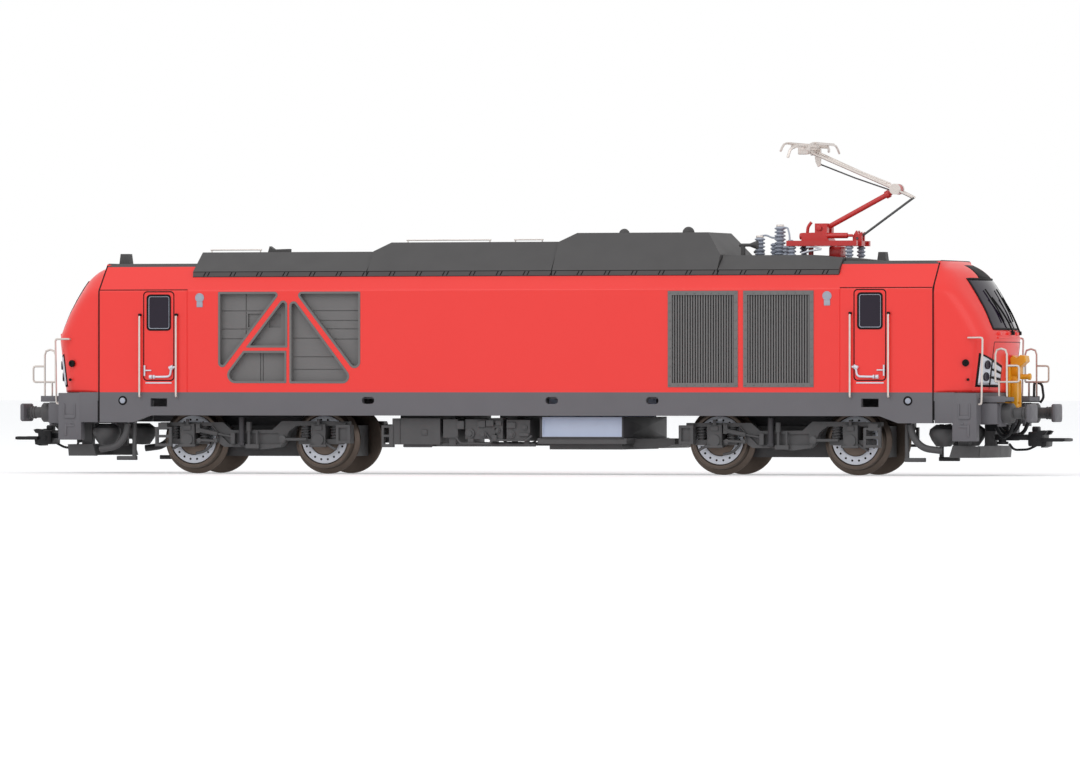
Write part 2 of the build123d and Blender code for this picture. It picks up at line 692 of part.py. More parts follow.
def pan_head_piece():
    """Two contact strips on a rocker, with horns bent down at both ends."""
    middle = hx - 0.3
    spread = 2.95
    parts = []
    for x in (middle - spread, middle + spread):
        parts.append(block(x - 0.45, x + 0.45, -6.8, 6.8, strip_top - 0.5, strip_top))
        for side in (-1, 1):
            parts.append(bent_bar([(x, 6.6 * side, strip_top - 0.3), (x, 9.6 * side, strip_top - 0.3),
                                   (x, 12.0 * side, strip_top - 2.0)], 0.25, 1.6))
    for side in (-1, 1):
        parts.append(block(middle - spread, middle + spread, 4.1 * side - 0.3, 4.1 * side + 0.3,
                           strip_top - 1.1, strip_top - 0.3))
        parts.append(block(hx - 0.8, hx + 0.8, 4.1 * side - 0.3, 4.1 * side + 0.3,
                           hz - 0.7, strip_top - 0.5))
    return joined(parts) - rod((hx, -5.2, hz), (hx, 5.2, hz), 0.36 + pin_gap)


save("pantograph_head", pan_head_piece())

# underfloor: cabinets, pipework, radiator case and the weight inside the body.
# Cabinet rows: x from, x to, bottom, top.
underfloor_top = sill_top - deck_plate
cabinet_y = half_width - 2.3
tray_y = cabinet_y - 3.0
cabinet_table = [(-27.3, -16.5, 5.2, 10.8), (-15.8, -12.5, 6.7, 10.6), (-10.8, -5.3, 6.4, 10.6),
                 (-5.4, -2.4, 6.2, 10.9), (-1.5, 3.7, 6.0, 10.5)]
case_x = (6.3, 24.6)
case_z = (6.6, 11.1)


def cabinets():
    """Equipment boxes on a tray, hung from the floor plate, with a ladder frame and pipes."""
    parts = [block(x0, x1, -cabinet_y, cabinet_y, z0, z1) for x0, x1, z0, z1 in cabinet_table]
    parts.append(block(-27.2, 3.6, -tray_y, tray_y, 8.8, 10.4))
    for x0, x1 in ((-26.5, -14.0), (-4.0, -0.2)):
        parts.append(block(x0, x1, -tray_y, tray_y, 10.0, underfloor_top))
    ladder = block(-29.7, -27.1, -cabinet_y - 0.2, -cabinet_y + 1.0, 4.6, 9.3)
    ladder -= block(-29.2, -28.0, -half_width, 0, 5.3, 6.8) + block(-29.2, -28.0, -half_width, 0, 7.3, 8.8)
    foot = block(-14.6, -13.1, -cabinet_y + 0.4, -cabinet_y + 2.0, 5.0, 6.9)
    low_pipe = flat_rod((-17.6, -cabinet_y + 1.2, 5.2), (4.6, -cabinet_y + 1.2, 5.2), 0.4)
    drop = block(2.2, 3.2, -cabinet_y + 0.8, -cabinet_y + 1.6, 5.0, 6.2)
    side_pipe = flat_rod((-25.0, -cabinet_y + 0.8, 5.0), (-18.6, -cabinet_y + 0.8, 5.0), 0.4)
    parts.append(both_sides(joined([ladder, foot, low_pipe, drop, side_pipe])))
    shape = joined(parts)
    front = -cabinet_y + groove_depth
    lines = [block(-25.6, -25.4, -half_width, front, 5.0, 11.0)]
    lines += [flat_rod((-3.9, -half_width, z), (-3.9, front + 0.3, z), 0.35) for z in (7.3, 8.5, 9.7)]
    for line in lines:
        shape -= both_sides(line)
    return shape


def tank():
    """Dark base under the radiator case, with its feet and the wedge tank beside it."""
    base = block(case_x[0] - 0.8, case_x[1] + 0.8, -cabinet_y - 0.2, cabinet_y + 0.2, 5.4, case_z[0])
    feet = block(case_x[0] + 1.2, case_x[1] - 0.9, -tray_y - 1, tray_y + 1, 4.2, 5.5)
    wedge = side_prism([(25.2, 6.5), (34.4, 6.5), (34.4, 5.3), (31.6, 4.5), (25.2, 4.5)],
                       -tray_y + 2.5, tray_y - 2.5)
    return joined([base, feet, wedge])


save("underfloor_cabinets", cabinets() + tank())


def radiator_case():
    """Light case with a sunk panel on each side, hung from the floor plate."""
    (x0, x1), (z0, z1) = case_x, case_z
    case = block(x0, x1, -cabinet_y - 0.4, cabinet_y + 0.4, z0, z1)
    case += block(x0 + 0.8, x1 - 1.1, -tray_y, tray_y, z1 - 0.1, underfloor_top)
    sunk = block(x0 + 0.6, x1 - 0.6, -half_width, -cabinet_y - 0.1, z0 + 0.6, z1 - 0.6)
    return case - both_sides(sunk)


save("radiator_case", radiator_case())
weight_y = inner_y - 2.6
save("chassis_weight", block(-47.0, 47.0, -weight_y, weight_y, sill_top, 37.0))


def cab_inside():
    """Cab floor, rear wall, desk and seat behind the windscreen."""
    floor_y, desk_y = inner_y - 2.1, inner_y - 5.1
    rear_x, front = seam_x - 18.65, seam_x + 3.35
    floor_top = sill_top + 1.6
    floor = block(rear_x, front, -floor_y, floor_y, sill_top, floor_top)
    rear = block(rear_x, rear_x + 1.2, -floor_y - 1, floor_y + 1, floor_top - 0.1, shoulder_z - 0.5)
    desk = side_prism([(front - 6, floor_top), (front, floor_top), (front, 27.6), (front - 3, 27.0),
                       (front - 6.5, 25.2)], -desk_y, desk_y)
    seat = block(84.0, 88.0, -7.0, -2.6, floor_top - 0.1, 22.4) + block(83.2, 84.4, -7.0, -2.6, 21.0, 28.0)
    return joined([floor, rear, desk, seat])


save("cab_interiors", both_ends(cab_inside()))

# bogies: the side beam in bogie coordinates, (distance from the pivot, height)
beam_upper = [(-21.5, 9.9), (-7.1, 9.9), (-5.1, 8.2), (4.2, 8.3), (6.4, 10.2), (21.4, 10.1)]
beam_lower = [(21.4, 9.2), (9.7, 9.2), (8.0, 8.0), (6.9, 5.5), (6.0, 4.6), (1.6, 4.1), (-2.7, 4.6),
              (-6.8, 4.6), (-8.0, 5.4), (-8.6, 7.3), (-9.7, 9.1), (-21.5, 9.1)]
spring_radius = 0.85
spring_offset = 3.4
beam_inside = -beam_y + beam_thick


def axle_box(u):
    """Axle box with its two arms and the springs that stand on them."""
    front = -beam_y - 0.9
    box = block(u - 1.6, u + 1.6, front, beam_inside, 4.8, 9.5)
    cap = rod((u, front - 0.35, tread_radius), (u, front + 0.1, tread_radius), 1.25)
    arms = block(u - 4.8, u + 4.8, -beam_y, beam_inside + 0.2, 5.2, 6.3)
    springs = [flat_rod((u + k, -12.0, 6.2), (u + k, -12.0, 9.3), spring_radius)
               for k in (-spring_offset, spring_offset)]
    return joined([box, cap, arms] + springs)


def side_frame():
    """One cranked bogie side beam with its axle boxes."""
    side = side_prism(beam_upper + beam_lower, -beam_y, beam_inside)
    side -= side_prism([(-7.4, 6.9), (-5.6, 5.2), (6.0, 5.2), (5.6, 7.6), (-4.9, 7.5)],
                       -beam_y - 1, -beam_y + 0.5)
    return joined([side] + [axle_box(u) for u in (-axle_offset, axle_offset)])


def end_loops(outer):
    """Ladder frame at the outer end and bracket box at the inner end, outer is +1 or -1."""
    face = -beam_y - 2.0
    ladder = block(-22.0, -18.2, face, face + 0.8, 4.7, 8.9)
    for z in (5.3, 7.2):
        ladder -= block(-21.4, -18.8, face - 1, face + 2, z, z + 1.3)
    ladder += block(-21.3, -19.3, face, -beam_y + 1, 8.3, 9.8)
    bracket = block(19.4, 22.6, face, face + 2.6, 5.4, 9.4)
    bracket -= block(20.0, 22.0, face - 1, face + 0.5, 6.0, 8.8)
    bracket += block(19.6, 21.2, face + 1, -beam_y + 1, 9.3, 9.8)
    pair = ladder + bracket
    return pair if outer < 0 else mirror(pair, about=Plane.YZ)


def bogie_frame(outer):
    """Side beams, bolster with kingpin, gear housing, and the bores for both axles."""
    side = both_sides(side_frame() + end_loops(outer))
    bolster = block(-5.2, 5.2, beam_inside - 0.4, -beam_inside + 0.4, 7.0, 8.1)
    kingpin = rod((0, 0, 7.5), (0, 0, sill_top - 0.2), kingpin_radius)
    gear = block(-19.6, 19.6, -5.6, 5.6, 2.6, 9.2)
    shape = joined([side, bolster, kingpin, gear])
    for u in (-axle_offset, axle_offset):
        shape -= rod((u, -beam_y - 0.2, tread_radius), (u, beam_y + 0.2, tread_radius),
                     axle_radius + bearing_gap)
    return shape


axle_half = 12.6


def wheelset():
    """Axle, two tyred discs with flanges inside, in its own coordinates."""
    inner = back_to_back / 2
    flange_width = 0.8
    parts = [rod((0, -axle_half, 0), (0, axle_half, 0), axle_radius)]
    for side in (-1, 1):
        parts.append(rod((0, side * inner, 0), (0, side * (inner + wheel_width), 0), tread_radius))
        parts.append(rod((0, side * inner, 0), (0, side * (inner + flange_width), 0),
                         tread_radius + flange_depth))
    wheels = joined(parts)
    for side in (-1, 1):
        face = side * (inner + wheel_width)
        ring = rod((0, face, 0), (0, face - side * 0.7, 0), tread_radius - 0.9)
        ring -= rod((0, face + side, 0), (0, face - side * 2, 0), 2.0)
        wheels -= ring
    return wheels


def dampers():
    """Upright and slanted dampers on the bogie side, with their brackets."""
    y = -beam_y - 0.6
    parts = [flat_rod((-0.95, y, 4.6), (-0.95, y, 9.4), 0.35),
             flat_rod((-0.95, y, 8.0), (-0.95, y, 10.0), 0.6),
             flat_rod((0.9, y, 4.8), (0.9, y, 8.1), 0.25),
             block(-1.6, 1.4, y - 0.4, -beam_y, 4.3, 5.2),
             flat_rod((-12.6, y, 8.3), (-8.1, y, 7.4), 0.55),
             flat_rod((-8.3, y, 7.45), (-4.6, y, 6.8), 0.25),
             block(-5.0, -4.1, y - 0.4, -beam_y, 5.3, 7.6), block(-13.0, -12.1, y - 0.4, -beam_y, 7.6, 9.6)]
    return both_sides(joined(parts))


damper_shape = dampers()
wheel_shape = wheelset()
for name, x, outer in (("left", -pivot_x, -1), ("right", pivot_x, 1)):
    save("bogie_frame_" + name, Pos(x, 0, 0) * bogie_frame(outer))
    save("bogie_dampers_" + name, Pos(x, 0, 0) * damper_shape)
for number, (x, u) in enumerate([(x, u) for x in (-pivot_x, pivot_x)
                                 for u in (-axle_offset, axle_offset)], 1):
    save("wheelset_%d" % number, Pos(x + u, 0, tread_radius) * wheel_shape)


def plough():
    """Rail guard plate under the end, hung from the end frame, with the funnel and bar behind it."""
    front, side = seam_x + 8.95, half_width - 4.1
    rise = [(front - 6.6, side), (front - 1.1, side - 4.2), (front, 0)]
    outer = [(x, -y) for x, y in rise] + [(x, y) for x, y in reversed(rise[:2])]
    inner = [(x - 1.1, y) for x, y in reversed(outer)]
    blade = plan_prism(outer + inner, 2.4, 6.2)
    arm = both_sides(block(front - 5.2, front - 2.6, -11.4, -9.4, 5.4, beam_bottom))
    bar = both_sides(block(front - 15.6, front - 6.0, 9.0 - side, 10.2 - side, 4.9, 5.9)
                     + block(front - 6.5, front - 5.0, -11.4, 10.2 - side, 4.9, 5.9))
    return joined([blade, arm, bar])


for end, name in ((-1, "left"), (1, "right")):
    save("rail_guard_" + name, at_end(plough(), end))


def coupler():
    """Close coupler: pivoted shank, head block and thin loop."""
    pivot, tip = coupler_pivot_x, coupler_tip_x
    shank = block(pivot, tip - 7.8, -1.4, 1.4, coupler_z - 0.6, coupler_z + 0.6)
    eye = rod((pivot, 0, coupler_z - 0.6), (pivot, 0, coupler_z + 0.6), 1.8)
    head = block(tip - 8.4, tip - 4.6, -3.2, 3.2, coupler_z - 2.0, coupler_z + 1.5)
    loop = block(tip - 4.8, tip, -3.6, 3.6, coupler_z - 0.9, coupler_z - 0.1)
    loop -= block(tip - 4.4, tip - 0.9, -2.6, 2.6, coupler_z - 3, coupler_z + 3)
    hole = rod((pivot, 0, coupler_z - 5), (pivot, 0, coupler_z + 5), 0.84 + bearing_gap)
    return joined([shank, eye, head, loop]) - hole


def coupler_post():
    """Pin and bracket that carry the coupler."""
    pivot, z = coupler_pivot_x, coupler_z
    pin = rod((pivot, 0, z - 1.1), (pivot, 0, z + 2.1), 0.84)
    collar = rod((pivot, 0, z - 1.5), (pivot, 0, z - 0.9), 1.3)
    plate = block(front_x - 2.2, pivot + 2.0, -2.2, 2.2, z + 1.3, front_low)
    return joined([pin, collar, plate])


for end, name in ((-1, "left"), (1, "right")):
    save("coupler_" + name, at_end(coupler(), end))
save("coupler_brackets", both_ends(coupler_post()))

hook_x = nose_tip - 0.8
stem = block(hook_x, hook_x + 1.6, -1.4, 1.4, 13.6, 21.0)
jaw = block(hook_x + 0.5, hook_x + 2.6, -1.8, 1.8, 20.6, 24.3)
hook_pin = flat_rod((hook_x + 1.0, 0, 21.2), (hook_x + 3.2, 0, 21.2), 0.5)
bracket = block(front_x, hook_x + 0.3, -1.2, 1.2, beam_bottom - 1.2, beam_bottom)
shunting = joined([stem, jaw, hook_pin, bracket])
save("shunting_coupler", shunting)
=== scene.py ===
import json
import math

import bmesh
import bpy
import numpy as np
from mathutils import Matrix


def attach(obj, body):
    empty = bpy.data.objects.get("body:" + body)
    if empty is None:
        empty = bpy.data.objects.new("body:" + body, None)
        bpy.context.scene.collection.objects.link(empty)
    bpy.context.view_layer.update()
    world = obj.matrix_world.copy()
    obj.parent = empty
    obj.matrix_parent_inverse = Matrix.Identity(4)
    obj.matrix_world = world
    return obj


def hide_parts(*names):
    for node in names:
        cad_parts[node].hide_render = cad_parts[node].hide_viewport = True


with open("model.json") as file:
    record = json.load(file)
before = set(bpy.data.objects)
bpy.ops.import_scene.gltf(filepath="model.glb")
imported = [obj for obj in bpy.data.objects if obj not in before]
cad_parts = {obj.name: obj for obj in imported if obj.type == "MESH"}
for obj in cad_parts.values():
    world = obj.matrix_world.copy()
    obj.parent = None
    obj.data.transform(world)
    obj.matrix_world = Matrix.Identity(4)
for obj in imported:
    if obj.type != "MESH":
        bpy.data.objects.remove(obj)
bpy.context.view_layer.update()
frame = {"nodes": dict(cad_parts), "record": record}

# Lengths below are millimetres, heights are above the rail top, +X is the pantograph end.
mm = 0.001
railLift = 1.2  # the flanges reach this far below the rail top
alongX, alongZ = (1, 0, 0), (0, 0, 1)


# Shapes: every one is a pair (points N x 3, faces as rows of point numbers).

# A sheet over a grid of points: neighbours in both directions make one four-sided face.
def sheetShape(points, wrap=False):
    rows, cols = points.shape[:2]
    index = np.arange(rows * cols).reshape(rows, cols)
    if wrap:
        index = np.concatenate([index, index[:, :1]], axis=1)
    a, b, c, d = index[:-1, :-1], index[1:, :-1], index[1:, 1:], index[:-1, 1:]
    return points.reshape(-1, 3), np.stack([a, d, c, b], axis=-1).reshape(-1, 4)


# Several shapes in one: point numbers are moved up by the points before them.
def together(shapes):
    points = np.concatenate([p for p, f in shapes])
    starts = np.cumsum([0] + [len(p) for p, f in shapes[:-1]])
    faces = np.concatenate([f + s for (p, f), s in zip(shapes, starts)])
    return points, faces


# The mirror image across a plane, with the faces turned so that they still point outwards.
def mirrored(shape, axis):
    points = shape[0].copy()
    points[:, axis] *= -1
    return points, shape[1][:, ::-1]


def bothSides(shape):
    return together([shape, mirrored(shape, 1)])


def bothEnds(shape):
    return together([shape, mirrored(shape, 0)])


def eachCorner(shape):
    return bothEnds(bothSides(shape))


def moved(shape, x=0.0, y=0.0, z=0.0):
    return shape[0] + np.array([x, y, z]), shape[1]


# Shares from 0 to 1 in even steps, as a column, without the first.
def stepsTo(count):
    return np.linspace(0, 1, count + 1)[1:, None]


# A closed outline carried along a path: each ring stands square to the path, and both ends close
# on their middle point. The outline is (across, up) pairs. Where the path runs straight up, X is up.
def sweptShape(path, outline, up=alongZ):
    path = np.asarray(path, float)
    outline = np.asarray(outline, float)
    tangent = np.gradient(path, axis=0)
    tangent /= np.linalg.norm(tangent, axis=1, keepdims=True)
    upward = np.asarray(up, float) + np.zeros_like(tangent)
    upward[np.linalg.norm(np.cross(tangent, upward), axis=1) < 0.001] = alongX
    across = np.cross(tangent, upward)
    across /= np.linalg.norm(across, axis=1, keepdims=True)
    upward = np.cross(across, tangent)
    rings = (path[:, None] + outline[None, :, :1] * across[:, None]
             + outline[None, :, 1:] * upward[:, None])
    first, last = (np.repeat(end[:, None], len(outline), axis=1) for end in (path[:1], path[-1:]))
    return sheetShape(np.concatenate([first, rings, last]), wrap=True)


# A round bar: the outline is a circle.
def barShape(path, radius, sides=12, up=alongZ):
    turn = np.linspace(0, 2 * math.pi, sides, endpoint=False)
    return sweptShape(path, radius * np.stack([np.cos(turn), np.sin(turn)], axis=1), up=up)


# A straight run with rounded corners: near each one, (1-t)^2 start + 2t(1-t) corner + t^2 end.
def roundedPath(corners, bend, steps=6):
    corners = [np.asarray(c, float) for c in corners]
    t = np.linspace(0, 1, steps)[:, None]
    path = [corners[0]]
    for before, corner, after in zip(corners, corners[1:], corners[2:]):
        start, end = (corner + bend * (far - corner) / np.linalg.norm(far - corner)
                      for far in (before, after))
        path.extend((1 - t) ** 2 * start + 2 * t * (1 - t) * corner + t ** 2 * end)
    path.append(corners[-1])
    return np.array(path)


# A round bar along a run with rounded corners.
def pipeShape(corners, bend, radius, sides=12, steps=6, up=alongZ):
    return barShape(roundedPath(corners, bend, steps), radius, sides, up)


# A turned part: (along, radius) pairs swung round an axis through a centre.
def turnedShape(profile, centre, axis=(0, 1, 0), sides=48):
    profile = np.asarray(profile, float)
    axis = np.asarray(axis, float) / np.linalg.norm(axis)
    side = np.cross(axis, alongZ if abs(axis[2]) < 0.9 else alongX)
    side /= np.linalg.norm(side)
    turn = np.linspace(0, 2 * math.pi, sides, endpoint=False)[:, None]
    ray = np.cos(turn) * side + np.sin(turn) * np.cross(axis, side)
    points = np.asarray(centre, float) + profile[:, None, :1] * axis + profile[:, None, 1:] * ray[None]
    return sheetShape(points, wrap=True)


# A block with softened edges: a rounded rectangle carried along X, drawn in at both ends.
def softBlock(x0, x1, y0, y1, z0, z1, soft=0.15):
    turn = np.linspace(0, 2 * math.pi, 16, endpoint=False) + math.pi / 16
    cosine, sine = np.cos(turn), np.sin(turn)
    inset = soft * np.array([1.0, 0.3, 0.0, 0.0, 0.3, 1.0])[:, None]
    along = np.array([x0, x0 + 0.3 * soft, x0 + soft, x1 - soft, x1 - 0.3 * soft, x1])[:, None]
    y = np.sign(cosine) * ((y1 - y0) / 2 - soft - inset) + soft * cosine
    z = np.sign(sine) * ((z1 - z0) / 2 - soft - inset) + soft * sine
    middle = ((y0 + y1) / 2, (z0 + z1) / 2)
    rings = np.stack([along + 0 * turn, middle[0] + y, middle[1] + z], axis=-1)
    first, last = rings[:1].copy(), rings[-1:].copy()
    first[..., 1:] = last[..., 1:] = middle
    return sheetShape(np.concatenate([first, rings, last]), wrap=True)


# Blocks from rows of softBlock's numbers.
def blockShapes(rows):
    return [softBlock(*row) for row in rows]


# The face rows of so many copies of a shape.
def repeatedFaces(shape, count):
    starts = np.arange(count)[:, None, None] * len(shape[0])
    return (shape[1][None] + starts).reshape(-1, shape[1].shape[1])


# Copies of a shape at each of several places.
def copiesAt(shape, places):
    places = np.asarray(places, float)
    return (shape[0][None] + places[:, None]).reshape(-1, 3), repeatedFaces(shape, len(places))


# Copies of a shape turned evenly about a line along Y through a centre.
def ringOf(shape, centre, count):
    turn = np.arange(count)[:, None] * 2 * math.pi / count
    x, y, z = (shape[0] - np.asarray(centre, float)).T
    spun = np.stack([np.cos(turn) * x + np.sin(turn) * z, y + 0 * turn,
                     np.cos(turn) * z - np.sin(turn) * x], axis=-1) + np.asarray(centre, float)
    return spun.reshape(-1, 3), repeatedFaces(shape, count)


# A coil spring: the path climbs evenly while it turns.
def coilShape(x, y, radius, wire, low, high, turns):
    t = np.linspace(0, 1, int(turns * 16))
    turn = 2 * math.pi * turns * t
    path = [x + radius * np.cos(turn), y + radius * np.sin(turn), low + (high - low) * t]
    return barShape(np.stack(path, axis=-1), wire, 8)


# A stack of flat (x, z) outlines, each at its own y.
def layeredShape(outlines, levels):
    y = np.repeat(np.asarray(levels, float)[:, None], len(outlines[0]), axis=1)
    return sheetShape(np.stack([outlines[..., 0], y, outlines[..., 1]], axis=-1), wrap=True)


# A flat plate with softened rims: a closed (x, z) outline carried from y0 to y1, drawn in a little
# at both faces, with every face a fan round the outline's middle.
def plateShape(outline, y0, y1, soft=0.08):
    outline = np.asarray(outline, float)
    middle = outline.mean(axis=0)
    reach = np.linalg.norm(outline - middle, axis=1, keepdims=True)
    inner = middle + (outline - middle) * (1 - soft / reach)
    centre = middle + 0 * outline
    step = soft if y1 > y0 else -soft
    return layeredShape(np.stack([centre, inner, outline, outline, inner, centre]),
                        [y0, y0, y0 + step, y1 - step, y1, y1])


# A rounded rectangle in side view as (x, z) points, with an arc at each corner.
def roundedOutline(x0, x1, z0, z1, radius, steps=7):
    turn = np.linspace(0, math.pi / 2, steps)
    middles = [(x1 - radius, z1 - radius), (x0 + radius, z1 - radius), (x0 + radius, z0 + radius),
               (x1 - radius, z0 + radius)]
    return np.concatenate([np.stack([cx + radius * np.cos(turn + k * math.pi / 2),
                                     cz + radius * np.sin(turn + k * math.pi / 2)], axis=-1)
                           for k, (cx, cz) in enumerate(middles)])


# A raised band between two outlines: up at the outer one, over with softened rims, down at the inner.
def bandShape(outer, inner, y0, y1):
    share = np.array([0, 0, 0.12, 0.3, 0.7, 0.88, 1, 1])[:, None, None]
    level = np.array([0, 0.75, 0.95, 1, 1, 0.95, 0.75, 0])
    return layeredShape(outer[None] + (inner - outer)[None] * share, y0 + (y1 - y0) * level)


# Finishes: two close colours mixed by noise of the patch scale, a fine grain as bump, and a little
# change in roughness. Columns are named in finishColumns, and mirror may be left out.
finishColumns = ("colour", "second", "patch", "rough", "roughSpread", "grain", "bump", "metal", "coat",
                 "mirror")
finishLooks = {
    "bodyRed": ((0.96, 0.040, 0.032), (0.93, 0.036, 0.029), 90, 0.38, 0.05, 9000, 0.03, 0.0, 0.1),
    "sillGrey": ((0.142, 0.136, 0.148), (0.130, 0.125, 0.136), 160, 0.55, 0.08, 9000, 0.05, 0.0, 0.0),
    "roofGrey": ((0.074, 0.071, 0.071), (0.066, 0.063, 0.063), 200, 0.6, 0.08, 8000, 0.08, 0.0, 0.0),
    "bogieGrey": ((0.090, 0.088, 0.090), (0.068, 0.066, 0.068), 320, 0.55, 0.12, 7000, 0.12, 0.0, 0.0),
    "panelGrey": ((0.180, 0.172, 0.170), (0.160, 0.154, 0.152), 260, 0.6, 0.08, 8000, 0.06, 0.0, 0.0),
    "wheelSteel": ((0.15, 0.118, 0.098), (0.09, 0.070, 0.058), 300, 0.36, 0.12, 6000, 0.06, 0.85, 0.0),
    "wireNickel": ((0.72, 0.66, 0.62), (0.60, 0.54, 0.50), 500, 0.32, 0.10, 6000, 0.04, 0.75, 0.0),
    "lampSilver": ((0.56, 0.60, 0.68), (0.48, 0.52, 0.60), 700, 0.3, 0.08, 5000, 0.05, 0.3, 0.3),
    "caseGrey": ((0.52, 0.58, 0.72), (0.46, 0.52, 0.66), 300, 0.55, 0.08, 8000, 0.06, 0.0, 0.0),
    "insulatorGrey": ((0.42, 0.45, 0.52), (0.34, 0.37, 0.44), 500, 0.45, 0.08, 7000, 0.05, 0.0, 0.1),
    "panRed": ((0.62, 0.022, 0.020), (0.52, 0.018, 0.016), 300, 0.35, 0.08, 7000, 0.05, 0.0, 0.2),
    "couplerBlack": ((0.014, 0.014, 0.017), (0.009, 0.009, 0.010), 400, 0.45, 0.1, 7000, 0.06, 0.0, 0.0, 0.3),
    "couplerYellow": ((0.86, 0.40, 0.010), (0.78, 0.34, 0.008), 300, 0.42, 0.08, 7000, 0.05, 0.0, 0.1),
    "weightMetal": ((0.13, 0.13, 0.13), (0.10, 0.10, 0.10), 200, 0.6, 0.1, 5000, 0.2, 0.6, 0.0),
    "cabGrey": ((0.045, 0.043, 0.048), (0.036, 0.034, 0.038), 200, 0.6, 0.08, 8000, 0.05, 0.0, 0.0),
    "ringSilver": ((0.74, 0.76, 0.82), (0.64, 0.66, 0.72), 400, 0.38, 0.08, 6000, 0.04, 0.25, 0.0),
    "wheelDark": ((0.10, 0.082, 0.070), (0.055, 0.045, 0.040), 260, 0.5, 0.12, 6000, 0.08, 0.5, 0.0),
    "lineDark": ((0.008, 0.007, 0.008), (0.005, 0.005, 0.005), 400, 0.6, 0.1, 7000, 0.05, 0.0, 0.0, 0.15),
    "glassDark": ((0.020, 0.012, 0.026), (0.014, 0.009, 0.020), 120, 0.10, 0.03, 4000, 0.004, 0.0, 0.0, 0.3),
}
slotFinish = dict(
    body_red="bodyRed", sill_grey="sillGrey", roof_grey="roofGrey", bogie_grey="bogieGrey",
    panel_grey="panelGrey", wheel_steel="wheelSteel", wire_nickel="wireNickel", glass_dark="glassDark",
    lamp_silver="lampSilver", case_grey="caseGrey", insulator_grey="insulatorGrey", pan_red="panRed",
    coupler_black="couplerBlack", coupler_yellow="couplerYellow", weight_metal="weightMetal",
    cab_grey="cabGrey")

# The slot for each finish. Four finishes share a slot with another one.
finishSlot = {finish: slot for slot, finish in slotFinish.items()}
finishSlot.update(cabGrey="bogie_grey", ringSilver="lamp_silver", wheelDark="weight_metal",
                  lineDark="coupler_black")


# A new node with the values of some of its sockets.
def addNode(nodes, kind, values):
    node = nodes.new("ShaderNode" + kind)
    setSockets(node, values)
    return node


def setSockets(node, values):
    for socket, value in values.items():
        node.inputs[socket].default_value = value


# One finish: noise on Object coordinates drives colour, roughness and bump.
def makeFinish(name, row):
    look = dict(zip(finishColumns, row))
    material = bpy.data.materials.new(name)
    material.use_nodes = True
    nodes, links = material.node_tree.nodes, material.node_tree.links
    shader = nodes["Principled BSDF"]
    setSockets(shader, {"Metallic": look["metal"], "Coat Weight": look["coat"], "Coat Roughness": 0.15,
                        "Specular IOR Level": look.get("mirror", 0.5)})
    place = nodes.new("ShaderNodeTexCoord")
    patch = addNode(nodes, "TexNoise", {"Scale": look["patch"], "Detail": 4.0})
    links.new(place.outputs["Object"], patch.inputs["Vector"])
    mix = nodes.new("ShaderNodeMix")
    mix.data_type = "RGBA"
    setSockets(mix, {"A": (*look["colour"], 1), "B": (*look["second"], 1)})
    links.new(patch.outputs["Fac"], mix.inputs["Factor"])
    links.new(mix.outputs["Result"], shader.inputs["Base Color"])
    spread = addNode(nodes, "MapRange", {"To Min": look["rough"] - look["roughSpread"],
                                         "To Max": look["rough"] + look["roughSpread"]})
    links.new(patch.outputs["Fac"], spread.inputs["Value"])
    links.new(spread.outputs["Result"], shader.inputs["Roughness"])
    grain = addNode(nodes, "TexNoise", {"Scale": look["grain"], "Detail": 2.0})
    links.new(place.outputs["Object"], grain.inputs["Vector"])
    bump = addNode(nodes, "Bump", {"Strength": look["bump"], "Distance": 0.00005})
    links.new(grain.outputs["Fac"], bump.inputs["Height"])
    links.new(bump.outputs["Normal"], shader.inputs["Normal"])
    return material


finishes = {name: makeFinish(name, row) for name, row in finishLooks.items()}


# Gives every carried-over node the finish of its slot in the record.
def dressNodes():
    for part in frame["record"]["subparts"]:
        node = frame["nodes"][part["node"]]
        node.data.materials.clear()
        node.data.materials.append(finishes[slotFinish[part["material_slot"]]])
    print("nodes dressed:", len(frame["nodes"]))


dressNodes()


# Puts a shape into the scene as one piece on a body: doubles merged, closed ones facing outwards,
# a wall where it is a single sheet, and the node that it stands for.
def addPiece(name, shape, finish, body="root", closed=True, wall=None, instead=None):
    mesh = bpy.data.meshes.new(name)
    placed = (shape[0] + np.array([0.0, 0.0, railLift])) * mm
    mesh.from_pydata(placed.tolist(), [], shape[1].tolist())
    work = bmesh.new()
    work.from_mesh(mesh)
    bmesh.ops.remove_doubles(work, verts=work.verts, dist=2e-7)
    if closed:
        bmesh.ops.recalc_face_normals(work, faces=work.faces)
    work.to_mesh(mesh)
    work.free()
    mesh.polygons.foreach_set("use_smooth", np.ones(len(mesh.polygons), bool))
    mesh.set_sharp_from_angle(angle=math.radians(38))
    mesh.materials.append(finishes[finish])
    piece = bpy.data.objects.new(name, mesh)
    bpy.context.scene.collection.objects.link(piece)
    if wall:
        solid = piece.modifiers.new("wall", "SOLIDIFY")
        solid.thickness = wall * mm
        solid.offset = -1
    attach(piece, body)
    if instead:
        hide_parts(instead)


